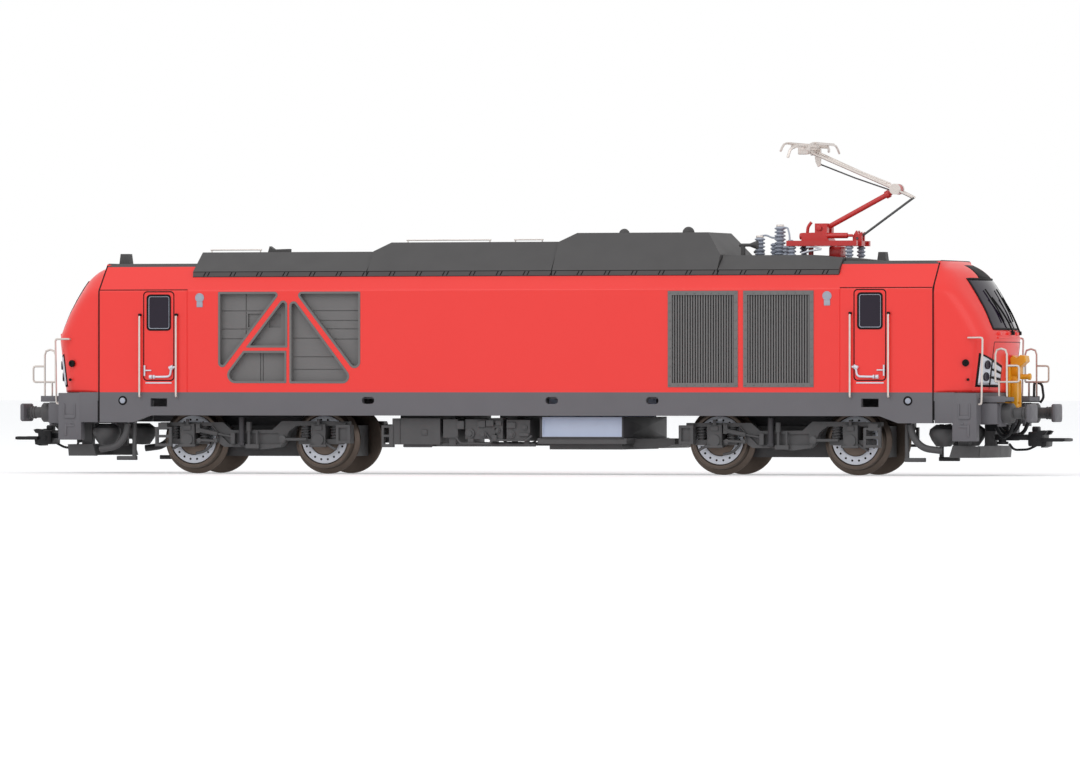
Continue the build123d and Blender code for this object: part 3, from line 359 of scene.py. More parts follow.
# Nose: a plan outline that changes with height. Rows of the table: height, x of the corner,
# y of the corner, x at the middle, how far the corner is rounded.
noseLook = dict(seamX=93.81, halfWidth=17.3, shoulder=38.3, lean=0.9615, smooth=0.9, screenLow=29.7,
                screenHigh=40.3, screenLowY=9.8, screenHighY=9.6, wall=1.0, glass=0.5,
                rows=(21, 23, 15), columns=(14, 6, 9, 7))
noseTable = np.array([
    [16.4, 101.8, 15.3, 105.4, 3.0],
    [28.2, 103.6, 15.0, 106.6, 3.0],
    [33.5, 100.7, 15.7, 104.6, 3.0],
    [36.9, 98.2, 16.1, 102.9, 2.6],
    [38.3, 97.3, 15.8, 102.1, 2.2],
    [39.8, 97.0, 14.5, 101.2, 2.0],
    [41.3, 96.4, 13.0, 100.1, 1.8],
    [42.6, 95.4, 11.6, 98.3, 1.2],
    [43.4, 94.8, 9.5, 96.9, 0.8],
    [43.9, 94.4, 6.0, 95.4, 0.5],
    [44.1, 94.2, 4.0, 94.8, 0.3],
])


# Reads the table at any height: a straight-line reading averaged over a small window.
def noseValues(z):
    window = np.linspace(-1, 1, 9) * noseLook["smooth"]
    low, high = noseTable[0, 0], noseTable[-1, 0]
    level = np.clip(z[:, None] + window * np.minimum(1, np.minimum(z - low, high - z))[:, None].clip(0),
                    low, high)
    values = [np.interp(level, noseTable[:, 0], noseTable[:, k]).mean(axis=1) for k in range(1, 5)]
    side = noseLook["halfWidth"] - noseLook["lean"] * np.maximum(0, level - noseLook["shoulder"])
    return [*values, side.mean(axis=1)]


# Half outline of the nose at each height, from the middle line round to the seam. The front is the
# parabola x = middleX - (middleX - cornerX)(y / cornerY)^2, then a rounded corner as a quadratic
# curve and a straight side. Columns: windscreen, pillar, corner, side.
def noseGrid(heights):
    look = noseLook
    screenColumns, pillarColumns, cornerColumns, sideColumns = look["columns"]
    cornerX, cornerY, middleX, rounding, side = noseValues(heights)
    frontY = cornerY - rounding
    share = (heights - look["screenLow"]) / (look["screenHigh"] - look["screenLow"])
    glassY = np.minimum(look["screenLowY"] + share * (look["screenHighY"] - look["screenLowY"]),
                        frontY * 0.93)
    y = np.concatenate([np.linspace(0, 1, screenColumns + 1)[:, None] * glassY,
                        glassY + stepsTo(pillarColumns) * (frontY - glassY)])
    x = middleX - (middleX - cornerX) * (y / cornerY) ** 2
    backX = np.maximum(cornerX - rounding, look["seamX"] + 0.2)
    backY = cornerY + (side - cornerY) * np.clip((cornerX - backX) / (cornerX - look["seamX"]), 0, 1)
    t = stepsTo(cornerColumns)
    bendX, bendY = ((1 - t) ** 2 * start[-1] + 2 * t * (1 - t) * corner + t ** 2 * back
                    for start, corner, back in ((x, cornerX, backX), (y, cornerY, backY)))
    s = stepsTo(sideColumns)
    sideX, sideY = backX + s * (look["seamX"] - backX), backY + (side - backY) * s
    return np.stack([np.concatenate([x, bendX, sideX]).T, np.concatenate([y, bendY, sideY]).T,
                     np.repeat(heights[:, None], sum(look["columns"]) + 1, axis=1)], axis=-1)


# The red shell: every face but those of the windscreen, on both halves, closed over the top.
def noseShell():
    look = noseLook
    levels = (noseTable[0, 0], look["screenLow"], look["screenHigh"], noseTable[-1, 0])
    heights = [a + (b - a) * stepsTo(count)[:, 0] for a, b, count in zip(levels, levels[1:], look["rows"])]
    grid = noseGrid(np.concatenate([levels[:1], *heights]))
    cap = grid[-1:] * (1, 0, 1)
    grid = np.concatenate([grid, cap])
    points, faces = sheetShape(grid)
    rows, cols = np.divmod(faces[:, 0], grid.shape[1])
    lowRows, screenRows = look["rows"][:2]
    inScreen = (rows >= lowRows) & (rows < lowRows + screenRows) & (cols < look["columns"][0])
    return bothSides((points, faces[~inScreen]))


def noseGlass():
    low, high = noseLook["screenLow"] + 0.02, noseLook["screenHigh"] - 0.02
    grid = noseGrid(np.linspace(low, high, noseLook["rows"][1] + 1))
    return bothSides(sheetShape(grid[:, :noseLook["columns"][0] + 1]))


# A shape made for the right end, turned to the left end where the sign is below zero.
def atEnd(shape, sign):
    return shape if sign > 0 else mirrored(shape, 0)


ends = ((-1, "left"), (1, "right"))
for sign, end in ends:
    addPiece("noseShell_" + end, atEnd(noseShell(), sign), "bodyRed", closed=False,
             wall=noseLook["wall"], instead="cab_front_" + end)
    addPiece("noseGlass_" + end, atEnd(noseGlass(), sign), "glassDark", closed=False,
             wall=noseLook["glass"], instead="windscreen_" + end)
print("noses made")


# Wheels: tyre and flange as a turned profile of (distance from the middle, radius), a bright ring
# with a circle of holes on the outer face, drawn as dark discs of painted shade, and a dark dished
# centre.
wheelLook = dict(height=6.2, pivot=59.55, offset=15.0, holes=18, holeCircle=4.3, holeRadius=0.24,
                 face=9.95, ring=(3.35, 5.15), axleRadius=1.0, axleHalf=12.6,
                 flange=[(7.05, 0), (7.05, 6.9), (7.15, 7.3), (7.4, 7.4), (7.65, 7.3), (7.95, 6.7),
                         (8.15, 6.35), (8.4, 6.25)])


def wheelShapes(x):
    look = wheelLook
    centre = (x, 0, look["height"])
    face = look["face"]
    inner, outer = look["ring"]
    tyre = turnedShape(look["flange"] + [(face - 0.2, 6.14), (face - 0.04, 6.05), (face, 5.9),
                                         (face, outer + 0.25), (face - 0.12, outer + 0.1),
                                         (face - 0.35, outer), (face - 0.35, 0)], centre, sides=96)
    ring = turnedShape([(face - 0.5, inner), (face - 0.14, inner + 0.03), (face - 0.1, inner + 0.12),
                        (face - 0.1, outer - 0.12), (face - 0.14, outer - 0.02), (face - 0.5, outer)],
                       centre, sides=96)
    dish = turnedShape([(face - 0.3, inner + 0.05), (face - 0.34, inner - 0.1), (face - 0.7, 2.3),
                        (face - 0.72, 1.8), (face - 0.2, 1.6), (face - 0.1, 1.4), (face - 0.1, 0)],
                       centre, sides=64)
    # The holes are not cut: each is a dark disc just proud of the ring, painted shade where a hole would be.
    holeShade = turnedShape([(face - 0.3, look["holeRadius"]), (face - 0.085, look["holeRadius"]),
                        (face - 0.085, 0)], (x + look["holeCircle"], 0, look["height"]), sides=12)
    axle = barShape([(x, s * look["axleHalf"], look["height"]) for s in (-1, 0, 1)], look["axleRadius"], 24)
    return together([bothSides(tyre), axle]), ring, dish, ringOf(holeShade, centre, look["holes"])


for number, (pivot, offset) in enumerate([(p, o) for p in (-1, 1) for o in (-1, 1)], 1):
    tyre, ring, dish, holes = wheelShapes(pivot * wheelLook["pivot"] + offset * wheelLook["offset"])
    body, mark = "wheels_%d" % number, "_%d" % number
    addPiece("wheelTyres" + mark, tyre, "wheelSteel", body, instead="wheelset" + mark)
    addPiece("wheelRings" + mark, bothSides(ring), "ringSilver", body, closed=False)
    addPiece("wheelCentres" + mark, bothSides(dish), "wheelDark", body, closed=False)
    addPiece("wheelHoleShades" + mark, bothSides(holes), "lineDark", body, closed=False)
print("wheels made")


# Bogie fittings, in distances from the pivot or the axle, and from the side beam's face: coil
# springs beside the axle boxes, link rods, brackets, wire loops and sand pipes round the wheels.
bogieLook = dict(
    faceY=-13.0, axle=15.0, spring=dict(y=-12.0, radius=1.0, wire=0.2, low=6.35, high=9.15, turns=4.5),
    springOffset=3.4,
    axleBlocks=[(-0.9, 0.9, -1.2, -0.8, 8.2, 9.3), (-2.0, 1.9, -1.3, -0.7, 4.6, 5.2),
                (-0.35, 0.35, -1.0, -0.5, 9.2, 10.6)],
    axleBolts=[((u, -0.8, 8.9), (u, -0.8, 7.4)) for u in (-1.5, 1.5)],
    collar=[(-1.4, 0), (-1.4, 0.6), (-1.3, 0.8), (-0.5, 0.8), (-0.4, 0.6), (-0.4, 0)],
    collarPlace=(6.9, 0, 6.3),
    bars=[([(7.2, -0.9, 6.3), (9.4, -0.9, 6.25), (12.4, -0.9, 6.3)], 0.33, 12),
          ([(-12.4, -0.8, 6.1), (-10.6, -0.8, 6.0), (-8.7, -0.8, 5.9)], 0.3, 12),
          ([(-12.3, -1.0, 6.0), (-12.3, 0.2, 6.0)], 0.5, 14),
          ([(-8.6, -1.0, 6.0), (-8.6, 0.2, 6.0)], 0.5, 14),
          ([(-18.6, -0.4, 4.1), (-15.8, -0.4, 5.6)], 0.3, 10),
          ([(18.9, -0.4, 4.1), (15.9, -0.4, 5.6)], 0.3, 10)],
    pipes=[([(-9.6, -0.3, 9.2), (-8.4, -0.3, 8.0), (-8.1, -0.3, 5.8)], 0.8, 0.16, 8),
           ([(-13.5, 0.6, 3.2), (-11.5, 0.6, 3.6), (-9.8, 0.6, 5.1), (-9.6, 0.6, 6.2)], 0.9, 0.3, 10)],
    crossFrame=(-12.6, 12.6, -4.0, 4.0, 8.6, 12.4),
    damper=[(-2.6, -0.6, 5.3), (-2.6, -0.6, 11.0)], damperRadius=0.62,
    damperFoot=(-3.3, -1.9, -1.2, 0.2, 4.9, 5.6))


def bogieSprings():
    look = bogieLook
    return bothSides(together([coilShape(u + k, **look["spring"]) for u in (-look["axle"], look["axle"])
                               for k in (-look["springOffset"], look["springOffset"])]))


def bogieFittings():
    look = bogieLook
    axle = together(blockShapes(look["axleBlocks"]) + [barShape(path, 0.2, 10) for path in look["axleBolts"]])
    shapes = [copiesAt(axle, [(-look["axle"], 0, 0), (look["axle"], 0, 0)]),
              turnedShape(look["collar"], look["collarPlace"], sides=24)]
    shapes += [barShape(*row) for row in look["bars"]] + [pipeShape(*row) for row in look["pipes"]]
    return bothSides(moved(together(shapes), y=look["faceY"]))


# The cross frame between the side beams, seen through the gap under the sill, and the damper that
# stands at the middle of each side. The cross frame is a real part, given the darker cab grey as
# painted shade in the gap under the sill.
def bogieMiddle():
    look = bogieLook
    damper = together([barShape(look["damper"], look["damperRadius"], 16), softBlock(*look["damperFoot"])])
    return together([softBlock(*look["crossFrame"]), bothSides(moved(damper, y=look["faceY"]))])


for sign, end in ends:
    # The cross frame's darker cab grey is painted shade under the sill.
    for name, shape, finish in (("bogieMiddle_", bogieMiddle(), "cabGrey"),
                                ("bogieSprings_", bogieSprings(), "bogieGrey"),
                                ("bogieFittings_", bogieFittings(), "bogieGrey")):
        addPiece(name + end, moved(shape, x=sign * wheelLook["pivot"]), finish, "bogie_" + end)
print("bogie fittings made")


# Underfloor: the dark ends and edges of the radiator case, and the valves, small boxes, lids and
# pipes on the face of the cabinets. Boxes: x0, x1, z0, z1, how far they stand proud. Valves: x, z,
# radius, how far proud. Pipes: height, start, end.
underLook = dict(
    case=(6.3, 24.6, 6.6, 11.15), caseY=15.4, faceY=15.0, rim=0.32,
    boxes=[(-12.6, -11.0, 8.5, 10.3, 0.5), (-8.0, -6.2, 8.9, 10.4, 0.45), (-6.0, -4.3, 9.1, 10.5, 0.6),
           (-3.9, -2.6, 9.3, 10.4, 0.4), (-1.4, 0.6, 8.7, 10.0, 0.45), (1.4, 3.6, 7.0, 7.7, 0.5),
           (-10.2, -8.9, 5.6, 6.6, 0.3), (-4.8, -3.6, 5.9, 7.3, 0.5), (-20.6, -19.4, 7.2, 8.4, 0.25)],
    valves=[(-9.7, 7.6, 1.05, 0.7), (-6.6, 7.4, 0.7, 0.9), (-3.4, 8.2, 0.55, 0.6), (-0.4, 7.4, 0.85, 0.5),
            (2.6, 8.9, 0.6, 0.55)],
    pipes=[(5.5, -12.8, -4.2), (6.2, -6.0, 4.2)])


def caseEdges():
    x0, x1, z0, z1 = underLook["case"]
    y, rim = underLook["caseY"], underLook["rim"]
    front = (-y - 0.08, -y + 0.1)
    bars = [(x0 - 0.2, x0 + rim, *front, z0, z1, 0.04), (x1 - rim * 0.5, x1 + 0.2, *front, z0, z1, 0.04),
            (x0, x1, *front, z0 - 0.05, z0 + rim, 0.04)]
    caseEnds = [(x, x + 0.22, -y, y, z0, z1, 0.05) for x in (x0 - 0.22, x1)]
    return together(blockShapes(caseEnds) + [bothSides(together(blockShapes(bars)))])


def cabinetFittings():
    y = -underLook["faceY"]
    shapes = [softBlock(x0, x1, y - proud, y + 0.3, z0, z1, 0.1)
              for x0, x1, z0, z1, proud in underLook["boxes"]]
    for x, z, radius, proud in underLook["valves"]:
        profile = [(y - proud, 0), (y - proud, radius * 0.55), (y - proud * 0.6, radius * 0.6),
                   (y - proud * 0.55, radius), (y + 0.2, radius), (y + 0.2, 0)]
        shapes.append(turnedShape(profile, (x, 0, z), sides=28))
    for low, start, end in underLook["pipes"]:
        shapes.append(pipeShape([(start, y - 0.2, low + 1.3), (start + 0.9, y - 0.2, low),
                                 (end - 1.2, y - 0.2, low - 0.1), (end, y - 0.2, low + 1.0)], 0.6, 0.22, 10))
    return bothSides(together(shapes))


addPiece("caseEdges", caseEdges(), "cabGrey")
addPiece("cabinetFittings", cabinetFittings(), "bogieGrey")
print("underfloor fittings made")


# Insulators: a turned post whose radius swells and narrows evenly with height, as a cosine wave.
# Posts: x, y, height of the top, radius. Links: the wires between the posts.
insulatorLook = dict(
    foot=45.0, pitch=0.78, waist=0.55,
    posts=[(50.45, 0.0, 49.4, 1.15), (54.95, 0.0, 51.7, 1.25), (58.9, -4.5, 47.5, 0.95),
           (58.9, 4.5, 47.5, 0.95), (71.6, -4.5, 47.5, 0.95), (71.6, 4.5, 47.5, 0.95)],
    smallPosts=[(53.1, 1.6, 48.2, 0.8), (56.6, 2.2, 48.9, 0.85), (56.9, -1.9, 47.6, 0.8)],
    links=[[(50.45, 0, 49.7), (51.9, 0, 49.9), (53.2, 0, 49.3), (54.9, 0, 49.4)],
           [(54.95, 0, 51.6), (57.0, -1.2, 51.4), (57.9, -3.0, 50.0), (58.4, -4.2, 47.8)]])


def insulatorShape(x, y, top, radius):
    low, pitch, waist = (insulatorLook[key] for key in ("foot", "pitch", "waist"))
    height = np.linspace(low, top, int((top - low) / pitch * 12))
    wave = 0.5 - 0.5 * np.cos(2 * math.pi * (top - height) / pitch)
    swell = radius * (waist + (1 - waist) * wave ** 0.7)
    profile = np.concatenate([[[low, 0]], np.stack([height, swell], axis=-1), [[top, 0]]])
    return turnedShape(profile, (x, y, 0), axis=alongZ, sides=32)


def insulatorCaps():
    return together([softBlock(x - 0.8, x + 0.8, y - 0.4, y + 0.4, top - 0.1, top + 0.45)
                     for x, y, top, radius in insulatorLook["posts"][:2]])


def postLinks():
    return together([pipeShape(path, 0.5, 0.2, 8) for path in insulatorLook["links"]]
                    + [insulatorShape(*row) for row in insulatorLook["smallPosts"]])


addPiece("insulatorStacks", together([insulatorShape(*row) for row in insulatorLook["posts"]]),
         "insulatorGrey", instead="insulators")
addPiece("insulatorCaps", insulatorCaps(), "wireNickel")
addPiece("postLinks", postLinks(), "insulatorGrey")
print("insulators made")


# Headlamps: patches that follow the nose, each between two distances from the middle line, with its
# lower and upper edge running straight between its ends. Rows: outer y, inner y, low and high at
# the outer end, low and high at the inner end, how far it stands proud. Rounds: height, radius.
lampLook = dict(
    patches=dict(
        lampFrames=(14.3, 5.8, 17.55, 24.7, 17.45, 22.0, 0.12),
        lampPanels=(13.9, 10.6, 17.95, 24.2, 17.95, 23.0, 0.22),
        lampBarsLow=(10.1, 6.2, 17.95, 19.3, 17.9, 18.9, 0.30),
        lampBarsMiddle=(10.1, 6.2, 19.75, 21.0, 19.3, 20.2, 0.30),
        lampBarsHigh=(10.1, 6.2, 21.45, 22.75, 20.6, 21.55, 0.30)),
    wall=0.2, roundY=12.1, rounds=[(19.7, 0.95), (22.2, 0.95)])


# x of the nose at any distance from the middle and height, read off the outline at that height.
def noseSkin(y, z):
    return np.stack([np.interp(np.abs(row), line[:, 1], line[:, 0])
                     for row, line in zip(y, noseGrid(z[:, 0]))])


# The same for one place.
def noseAt(y, z):
    return noseSkin(np.array([[y]]), np.array([[z]]))[0, 0]


def lampPatch(outerY, innerY, lowOuter, highOuter, lowInner, highInner, proud):
    across = np.linspace(0, 1, 15)[None]
    upward = np.linspace(0, 1, 9)[:, None]
    low = lowOuter + (lowInner - lowOuter) * across
    high = highOuter + (highInner - highOuter) * across
    z = low + (high - low) * upward
    y = outerY + (innerY - outerY) * across + 0 * z
    x = noseSkin(y.reshape(-1, 1), z.reshape(-1, 1)).reshape(z.shape)
    lift = proud * (1 - 0.5 * np.maximum(np.abs(2 * across - 1) ** 12, np.abs(2 * upward - 1) ** 12))
    return sheetShape(np.stack([x + lift, -y - 0.4 * lift, z], axis=-1))


def lampRound(z, radius):
    y = lampLook["roundY"]
    x = noseAt(y, z)
    outwards = (0.4, noseAt(y + 0.4, z) - x, 0.0)
    return turnedShape([(0.0, radius), (0.42, radius), (0.46, radius - 0.12), (0.4, radius - 0.22),
                        (0.3, radius * 0.5), (0.28, 0)], (x, -y, z), axis=outwards, sides=32)


for name, row in lampLook["patches"].items():
    dark = name == "lampFrames"
    addPiece(name, eachCorner(lampPatch(*row)), "lineDark" if dark else "ringSilver",
             closed=False, wall=lampLook["wall"], instead="headlamps" if dark else None)
lampRounds = together([lampRound(*row) for row in lampLook["rounds"]])
addPiece("lampRounds", eachCorner(lampRounds), "glassDark", closed=False)
print("headlamps made")


# Nose fittings: the dark rubber round the windscreen, the black panel over it, two wipers with
# their arms, the ledge under the glass, and the knob and plug on the side of the nose.
fittingLook = dict(
    rubber=0.27, sunk=-0.1, panelHalf=4.9, panelLow=40.55, panelHigh=43.3, proud=0.1, wall=0.2,
    wipers=[(-1.6, -5.4), (4.9, 1.2)], wiperZ=28.9, ledge=[(-8.9, 27.9), (8.9, 27.9)], ledgeZ=28.75,
    ledgeFeet=(-7.6, -3.2, 3.2, 7.6), lineY=10.2, lineLow=17.0, lineHigh=27.0,
    knob=[(0.2, 0.75), (-0.2, 0.75), (-0.3, 0.6), (-0.3, 0.32), (-0.15, 0.28), (-0.15, 0)],
    knobPlace=(100.4, -16.05, 22.6), plug=[(0.2, 0.3), (-0.12, 0.3), (-0.16, 0.2), (-0.16, 0)],
    plugPlace=(100.9, -15.9, 19.1), knobAxis=(-0.35, 1, 0))


# A wire that follows the nose: (y, z) points are lifted to its surface and stand a little proud.
def noseLine(points, radius, proud, sides=8):
    points = np.asarray(points, float)
    share = np.linspace(0, 1, 9)[:, None]
    legs = [a + (b - a) * share[k > 0:] for k, (a, b) in enumerate(zip(points, points[1:]))]
    y, z = np.concatenate(legs).T
    x = noseSkin(y[:, None], z[:, None])[:, 0] + proud
    return barShape(np.stack([x, y, z], axis=-1), radius, sides, up=alongX)


def screenRubber():
    low, high = noseLook["screenLow"], noseLook["screenHigh"]
    corners = [(0, low), (-noseLook["screenLowY"], low), (-noseLook["screenHighY"], high), (0, high)]
    return bothSides(noseLine(corners, fittingLook["rubber"], fittingLook["sunk"], 10))


# The panel lies on the nose, narrows upwards and stands proud except at its edges.
def nosePanel():
    look = fittingLook
    across = np.linspace(-1, 1, 17)[None]
    upward = np.linspace(0, 1, 12)[:, None]
    z = look["panelLow"] + (look["panelHigh"] - look["panelLow"]) * upward + 0 * across
    y = look["panelHalf"] * (1 - 0.28 * upward) * across
    edge = 1 - np.maximum(np.abs(across) ** 14, np.abs(2 * upward - 1) ** 14)
    return sheetShape(np.stack([noseSkin(y, z) + look["proud"] * edge, y, z], axis=-1))


def wipers():
    low = fittingLook["wiperZ"]
    shapes = []
    for foot, tip in fittingLook["wipers"]:
        x = noseAt(foot, low)
        shapes += [noseLine([(foot, low), (foot - 0.6, 31.2), (tip, 36.4)], 0.2, 0.55),
                   noseLine([(tip + 1.2, 31.3), (tip - 0.5, 38.2)], 0.16, 0.35),
                   barShape([(x - 0.3, foot, low), (x + 0.8, foot, low)], 0.42, 14)]
    return together(shapes)


def noseLedge():
    look = fittingLook
    places = [(noseAt(y, look["ledgeZ"]), y) for y in look["ledgeFeet"]]
    return together([noseLine(look["ledge"], 0.22, 0.0)] + blockShapes(
        (x - 0.5, x + 0.35, y - 0.9, y + 0.9, 28.5, 29.1, 0.1) for x, y in places))


def noseLines():
    y, low, high = (fittingLook[key] for key in ("lineY", "lineLow", "lineHigh"))
    lines = [[(-y, high), (y, high)], [(-y, low), (-y, high)], [(y, low), (y, high)]]
    return together([noseLine(points, 0.09, -0.02, 6) for points in lines])


def noseKnobs():
    look = fittingLook
    return bothSides(together([turnedShape(look["knob"], look["knobPlace"], look["knobAxis"], 24),
                               turnedShape(look["plug"], look["plugPlace"], look["knobAxis"], 16)]))


addPiece("screenRubber", bothEnds(screenRubber()), "lineDark")
addPiece("nosePanel", bothEnds(nosePanel()), "lineDark", closed=False, wall=fittingLook["wall"])
addPiece("wipers", bothEnds(wipers()), "lineDark")
addPiece("noseLedge", bothEnds(noseLedge()), "bodyRed")
addPiece("noseLines", bothEnds(noseLines()), "lineDark")
addPiece("noseKnobs", bothEnds(noseKnobs()), "lineDark", closed=False)
print("nose fittings made")


# Ends: buffer beam with its boxes, corner steps, platforms, buffers, rail guards, coupler heads
# with their hoses, the shunting coupler, and the dark joint between the body and each nose.
endLook = dict(front=103.2, beamLow=14.6, sill=16.4, bufferY=10.06, bufferZ=12.0, bufferX=113.7,
               couplerZ=6.9, couplerTip=118.5, joint=93.65)


# The beam follows the nose's plan between two heights; everything else is blocks, whose x is
# counted from the front of the beam.
def endFrame():
    look = endLook
    low, high = look["beamLow"], look["sill"]
    plan = noseGrid(np.full(4, high))
    plan[..., 0] -= np.array([0.3, 0.1, 0.1, 0.3])[:, None] * (plan[..., 0] > 95)
    plan[..., 2] = np.array([low, low + 0.02, high - 0.1, high])[:, None]
    beam = sheetShape(np.concatenate([plan[:1] * (1, 0, 1), plan, plan[-1:] * (1, 0, 1)]))
    blocks = dict(
        cheek=(-9.25, -4.9, -17.3, -15.9, 9.9, 16.4, 0.12),
        corner=(-5.4, -0.1, -17.3, -14.9, 6.1, 16.25, 0.15),
        box=(-0.2, 3.5, -14.0, -7.7, 9.7, 14.1, 0.2), flange=(3.1, 3.8, -12.6, -7.6, 9.2, 14.2, 0.12),
        deck=(-0.8, 5.1, -14.0, -6.2, 14.5, 15.4, 0.12), lip=(0.4, 5.2, -14.1, -13.7, 14.3, 15.6, 0.1),
        step=(-4.0, -1.6, -17.55, -17.0, 10.7, 11.5, 0.1),
        ribRear=(-4.1, -3.75, -17.5, -17.0, 10.9, 14.0, 0.1),
        ribFront=(-1.7, -1.35, -17.5, -17.0, 10.9, 14.0, 0.1), stay=(-2.1, -1.6, -17.5, -17.0, 7.0, 9.6, 0.1),
        rung=(-3.9, -1.7, -17.45, -17.0, 8.9, 9.4, 0.1), pad=(-3.6, -2.9, -17.45, -17.0, 9.6, 10.0, 0.1))
    bar = softBlock(-3.2, 0.0, -15.6, 15.6, 9.6, 15.0, 0.15)
    fitted = together([bothSides(together(blockShapes(blocks.values()))), bar])
    return together([bothSides(beam), moved(fitted, x=look["front"])])


def bufferBody():
    look = endLook
    start, tip = look["front"], look["bufferX"]
    tube = [(start + x, radius) for x, radius in ((3.6, 0), (3.6, 2.05), (3.8, 2.1), (5.9, 2.1), (6.1, 1.9),
                                                  (6.2, 1.55), (6.25, 1.2))]
    ribs = [(tip - 3.0 + 0.3 * k + d, 1.2 + 0.16 * (k % 2)) for k in range(6) for d in (0.0, 0.25)]
    profile = tube + [r for r in ribs if r[0] > start + 6.3] + [(tip - 1.0, 1.2), (tip - 1.0, 0)]
    return turnedShape(profile, (0, -look["bufferY"], look["bufferZ"]), axis=alongX, sides=40)


def bufferHead():
    x, y, z = endLook["bufferX"], endLook["bufferY"], endLook["bufferZ"]
    return softBlock(x - 1.05, x, -y - 3.05, -y + 3.05, z - 1.95, z + 1.95, 0.45)


def railGuard():
    side = plateShape([(95.9, 2.6), (102.3, 2.6), (102.5, 5.0), (96.7, 5.2)], -13.0, -12.1)
    blade = sweptShape(roundedPath([(102.2, -12.6, 3.8), (103.0, -8.8, 3.8), (103.3, 0, 3.8)], 1.5),
                       [(-0.35, -1.2), (0.25, -1.2), (0.45, 1.3), (-0.15, 1.3)])
    strut = softBlock(97.4, 99.9, -11.4, -9.6, 4.6, 14.6, 0.2)
    funnel = turnedShape([(9.6, 0), (9.6, 1.6), (8.6, 2.9), (7.6, 3.1), (6.4, 2.6), (5.0, 1.6), (4.9, 0)],
                         (94.2, -11.0, 0), axis=alongZ, sides=32)
    pipe = pipeShape([(88.0, -14.6, 9.6), (88.4, -14.6, 7.0), (90.6, -14.4, 4.6), (94.6, -13.8, 4.1)],
                     1.6, 0.75, 14, 8)
    shoe = softBlock(86.4, 90.9, -13.9, -12.7, 1.7, 2.6, 0.15)
    rod = barShape([(86.9, -13.4, 2.2), (86.9, -13.4, 9.6)], 0.5, 12, up=alongX)
    return bothSides(together([side, strut, funnel, pipe, shoe, rod, blade]))


# The coupler head, in distances back from its tip and up from its middle height.
def couplerHead():
    blocks = dict(
        shank=(-13.1, -7.6, -1.4, 1.4, -0.6, 0.6, 0.15), head=(-8.2, -5.0, -2.9, 2.9, -1.9, 1.2, 0.35),
        hump=(-7.8, -6.3, -1.1, 1.1, 1.0, 2.3, 0.3), bar=(-0.9, 0.0, -3.5, 3.5, -0.85, -0.2, 0.12),
        loopNear=(-5.2, -0.4, -3.55, -2.55, -0.9, -0.15, 0.12),
        loopFar=(-5.2, -0.4, 2.55, 3.55, -0.9, -0.15, 0.12))
    eye = turnedShape([(-0.6, 0.9), (-0.6, 1.75), (0.6, 1.75), (0.6, 0.9)], (-14.5, 0, 0), alongZ, 32)
    horn = plateShape([(-6.4, 0.2), (-4.5, 0.6), (-4.0, 1.3), (-4.7, 1.5), (-6.2, 1.4)], -2.9, -1.7)
    hook = plateShape([(-5.4, -2.2), (-4.3, -1.9), (-4.1, -0.3), (-5.2, -0.2)], -2.6, 2.6)
    pin = barShape([(-6.5, -3.1, -0.4), (-6.5, -2.6, -0.4)], 0.55, 14)
    lever = pipeShape([(-7.6, 2.2, -1.7), (-9.4, 2.2, -2.6), (-12.4, 1.6, -2.7), (-13.2, 0.8, -1.4)],
                      0.8, 0.26, 10)
    shape = together([eye, bothSides(horn), hook, bothSides(pin), lever] + blockShapes(blocks.values()))
    return moved(shape, x=endLook["couplerTip"], z=endLook["couplerZ"])


# Three hoses under the beam, each given by its y, how far it reaches and how low it hangs, and the
# loop at the far side of the beam.
def hoses():
    shapes = []
    for y, reach, low in ((-6.4, 108.4, 7.4), (-4.9, 109.4, 8.2), (4.9, 108.9, 7.6)):
        path = [(103.3, y, 13.0), (105.6, y, 13.0), (reach, y * 0.9, 10.9), (reach - 1.4, y * 0.8, low),
                (105.2, y * 0.7, low - 0.5), (103.9, y * 0.7, low + 1.6)]
        shapes.append(pipeShape(path, 1.2, 0.42, 12, 8, up=(0, 1, 0)))
    loop = [(107.6, 12.2, 15.4), (107.6, 12.4, 18.6), (109.3, 12.4, 18.2), (109.7, 12.4, 15.2),
            (108.9, 12.4, 14.2)]
    return together(shapes + [pipeShape(loop, 0.7, 0.28, 10, 8, up=(0, 1, 0))])


def yellowCoupler():
    blocks = dict(
        stem=(106.0, 107.5, -1.3, 1.3, 14.2, 22.0, 0.2), plate=(105.7, 106.3, -2.3, 2.3, 15.0, 22.2, 0.15),
        bracket=(103.2, 107.2, -1.1, 1.1, 13.4, 14.4, 0.12),
        legNear=(106.4, 107.7, -1.85, -1.15, 13.3, 19.0, 0.12),
        legFar=(106.4, 107.7, 1.15, 1.85, 13.3, 19.0, 0.12))
    jaw = plateShape([(106.2, 21.9), (108.2, 21.7), (109.6, 22.9), (109.4, 24.1), (108.3, 24.3),
                      (107.6, 23.7), (106.6, 24.2), (106.0, 23.6)], -1.7, 1.7, 0.2)
    ring = turnedShape([(106.3, 0), (106.3, 1.5), (106.6, 1.7), (107.8, 1.7), (108.1, 1.4), (108.1, 0)],
                       (0, 0, 20.9), axis=alongX, sides=32)
    pin = turnedShape([(107.6, 0), (107.6, 0.55), (109.6, 0.55), (109.7, 0.7), (110.2, 0.7), (110.3, 0.5),
                       (110.3, 0)], (0, 0, 19.7), axis=alongX, sides=24)
    foot = barShape([(106.9, -1.1, 13.6), (106.9, 1.1, 13.6)], 0.65, 16)
    return together([jaw, ring, pin, foot] + blockShapes(blocks.values()))


def bodyJoint():
    outline = [(-17.2, 9.95), (-17.2, 16.2), (-17.2, 38.25), (-12.2, 43.45), (-11.2, 44.1), (0, 44.12)]
    return bothSides(pipeShape([(endLook["joint"], y, z) for y, z in outline], 0.3, 0.19, 8, 4, up=alongX))


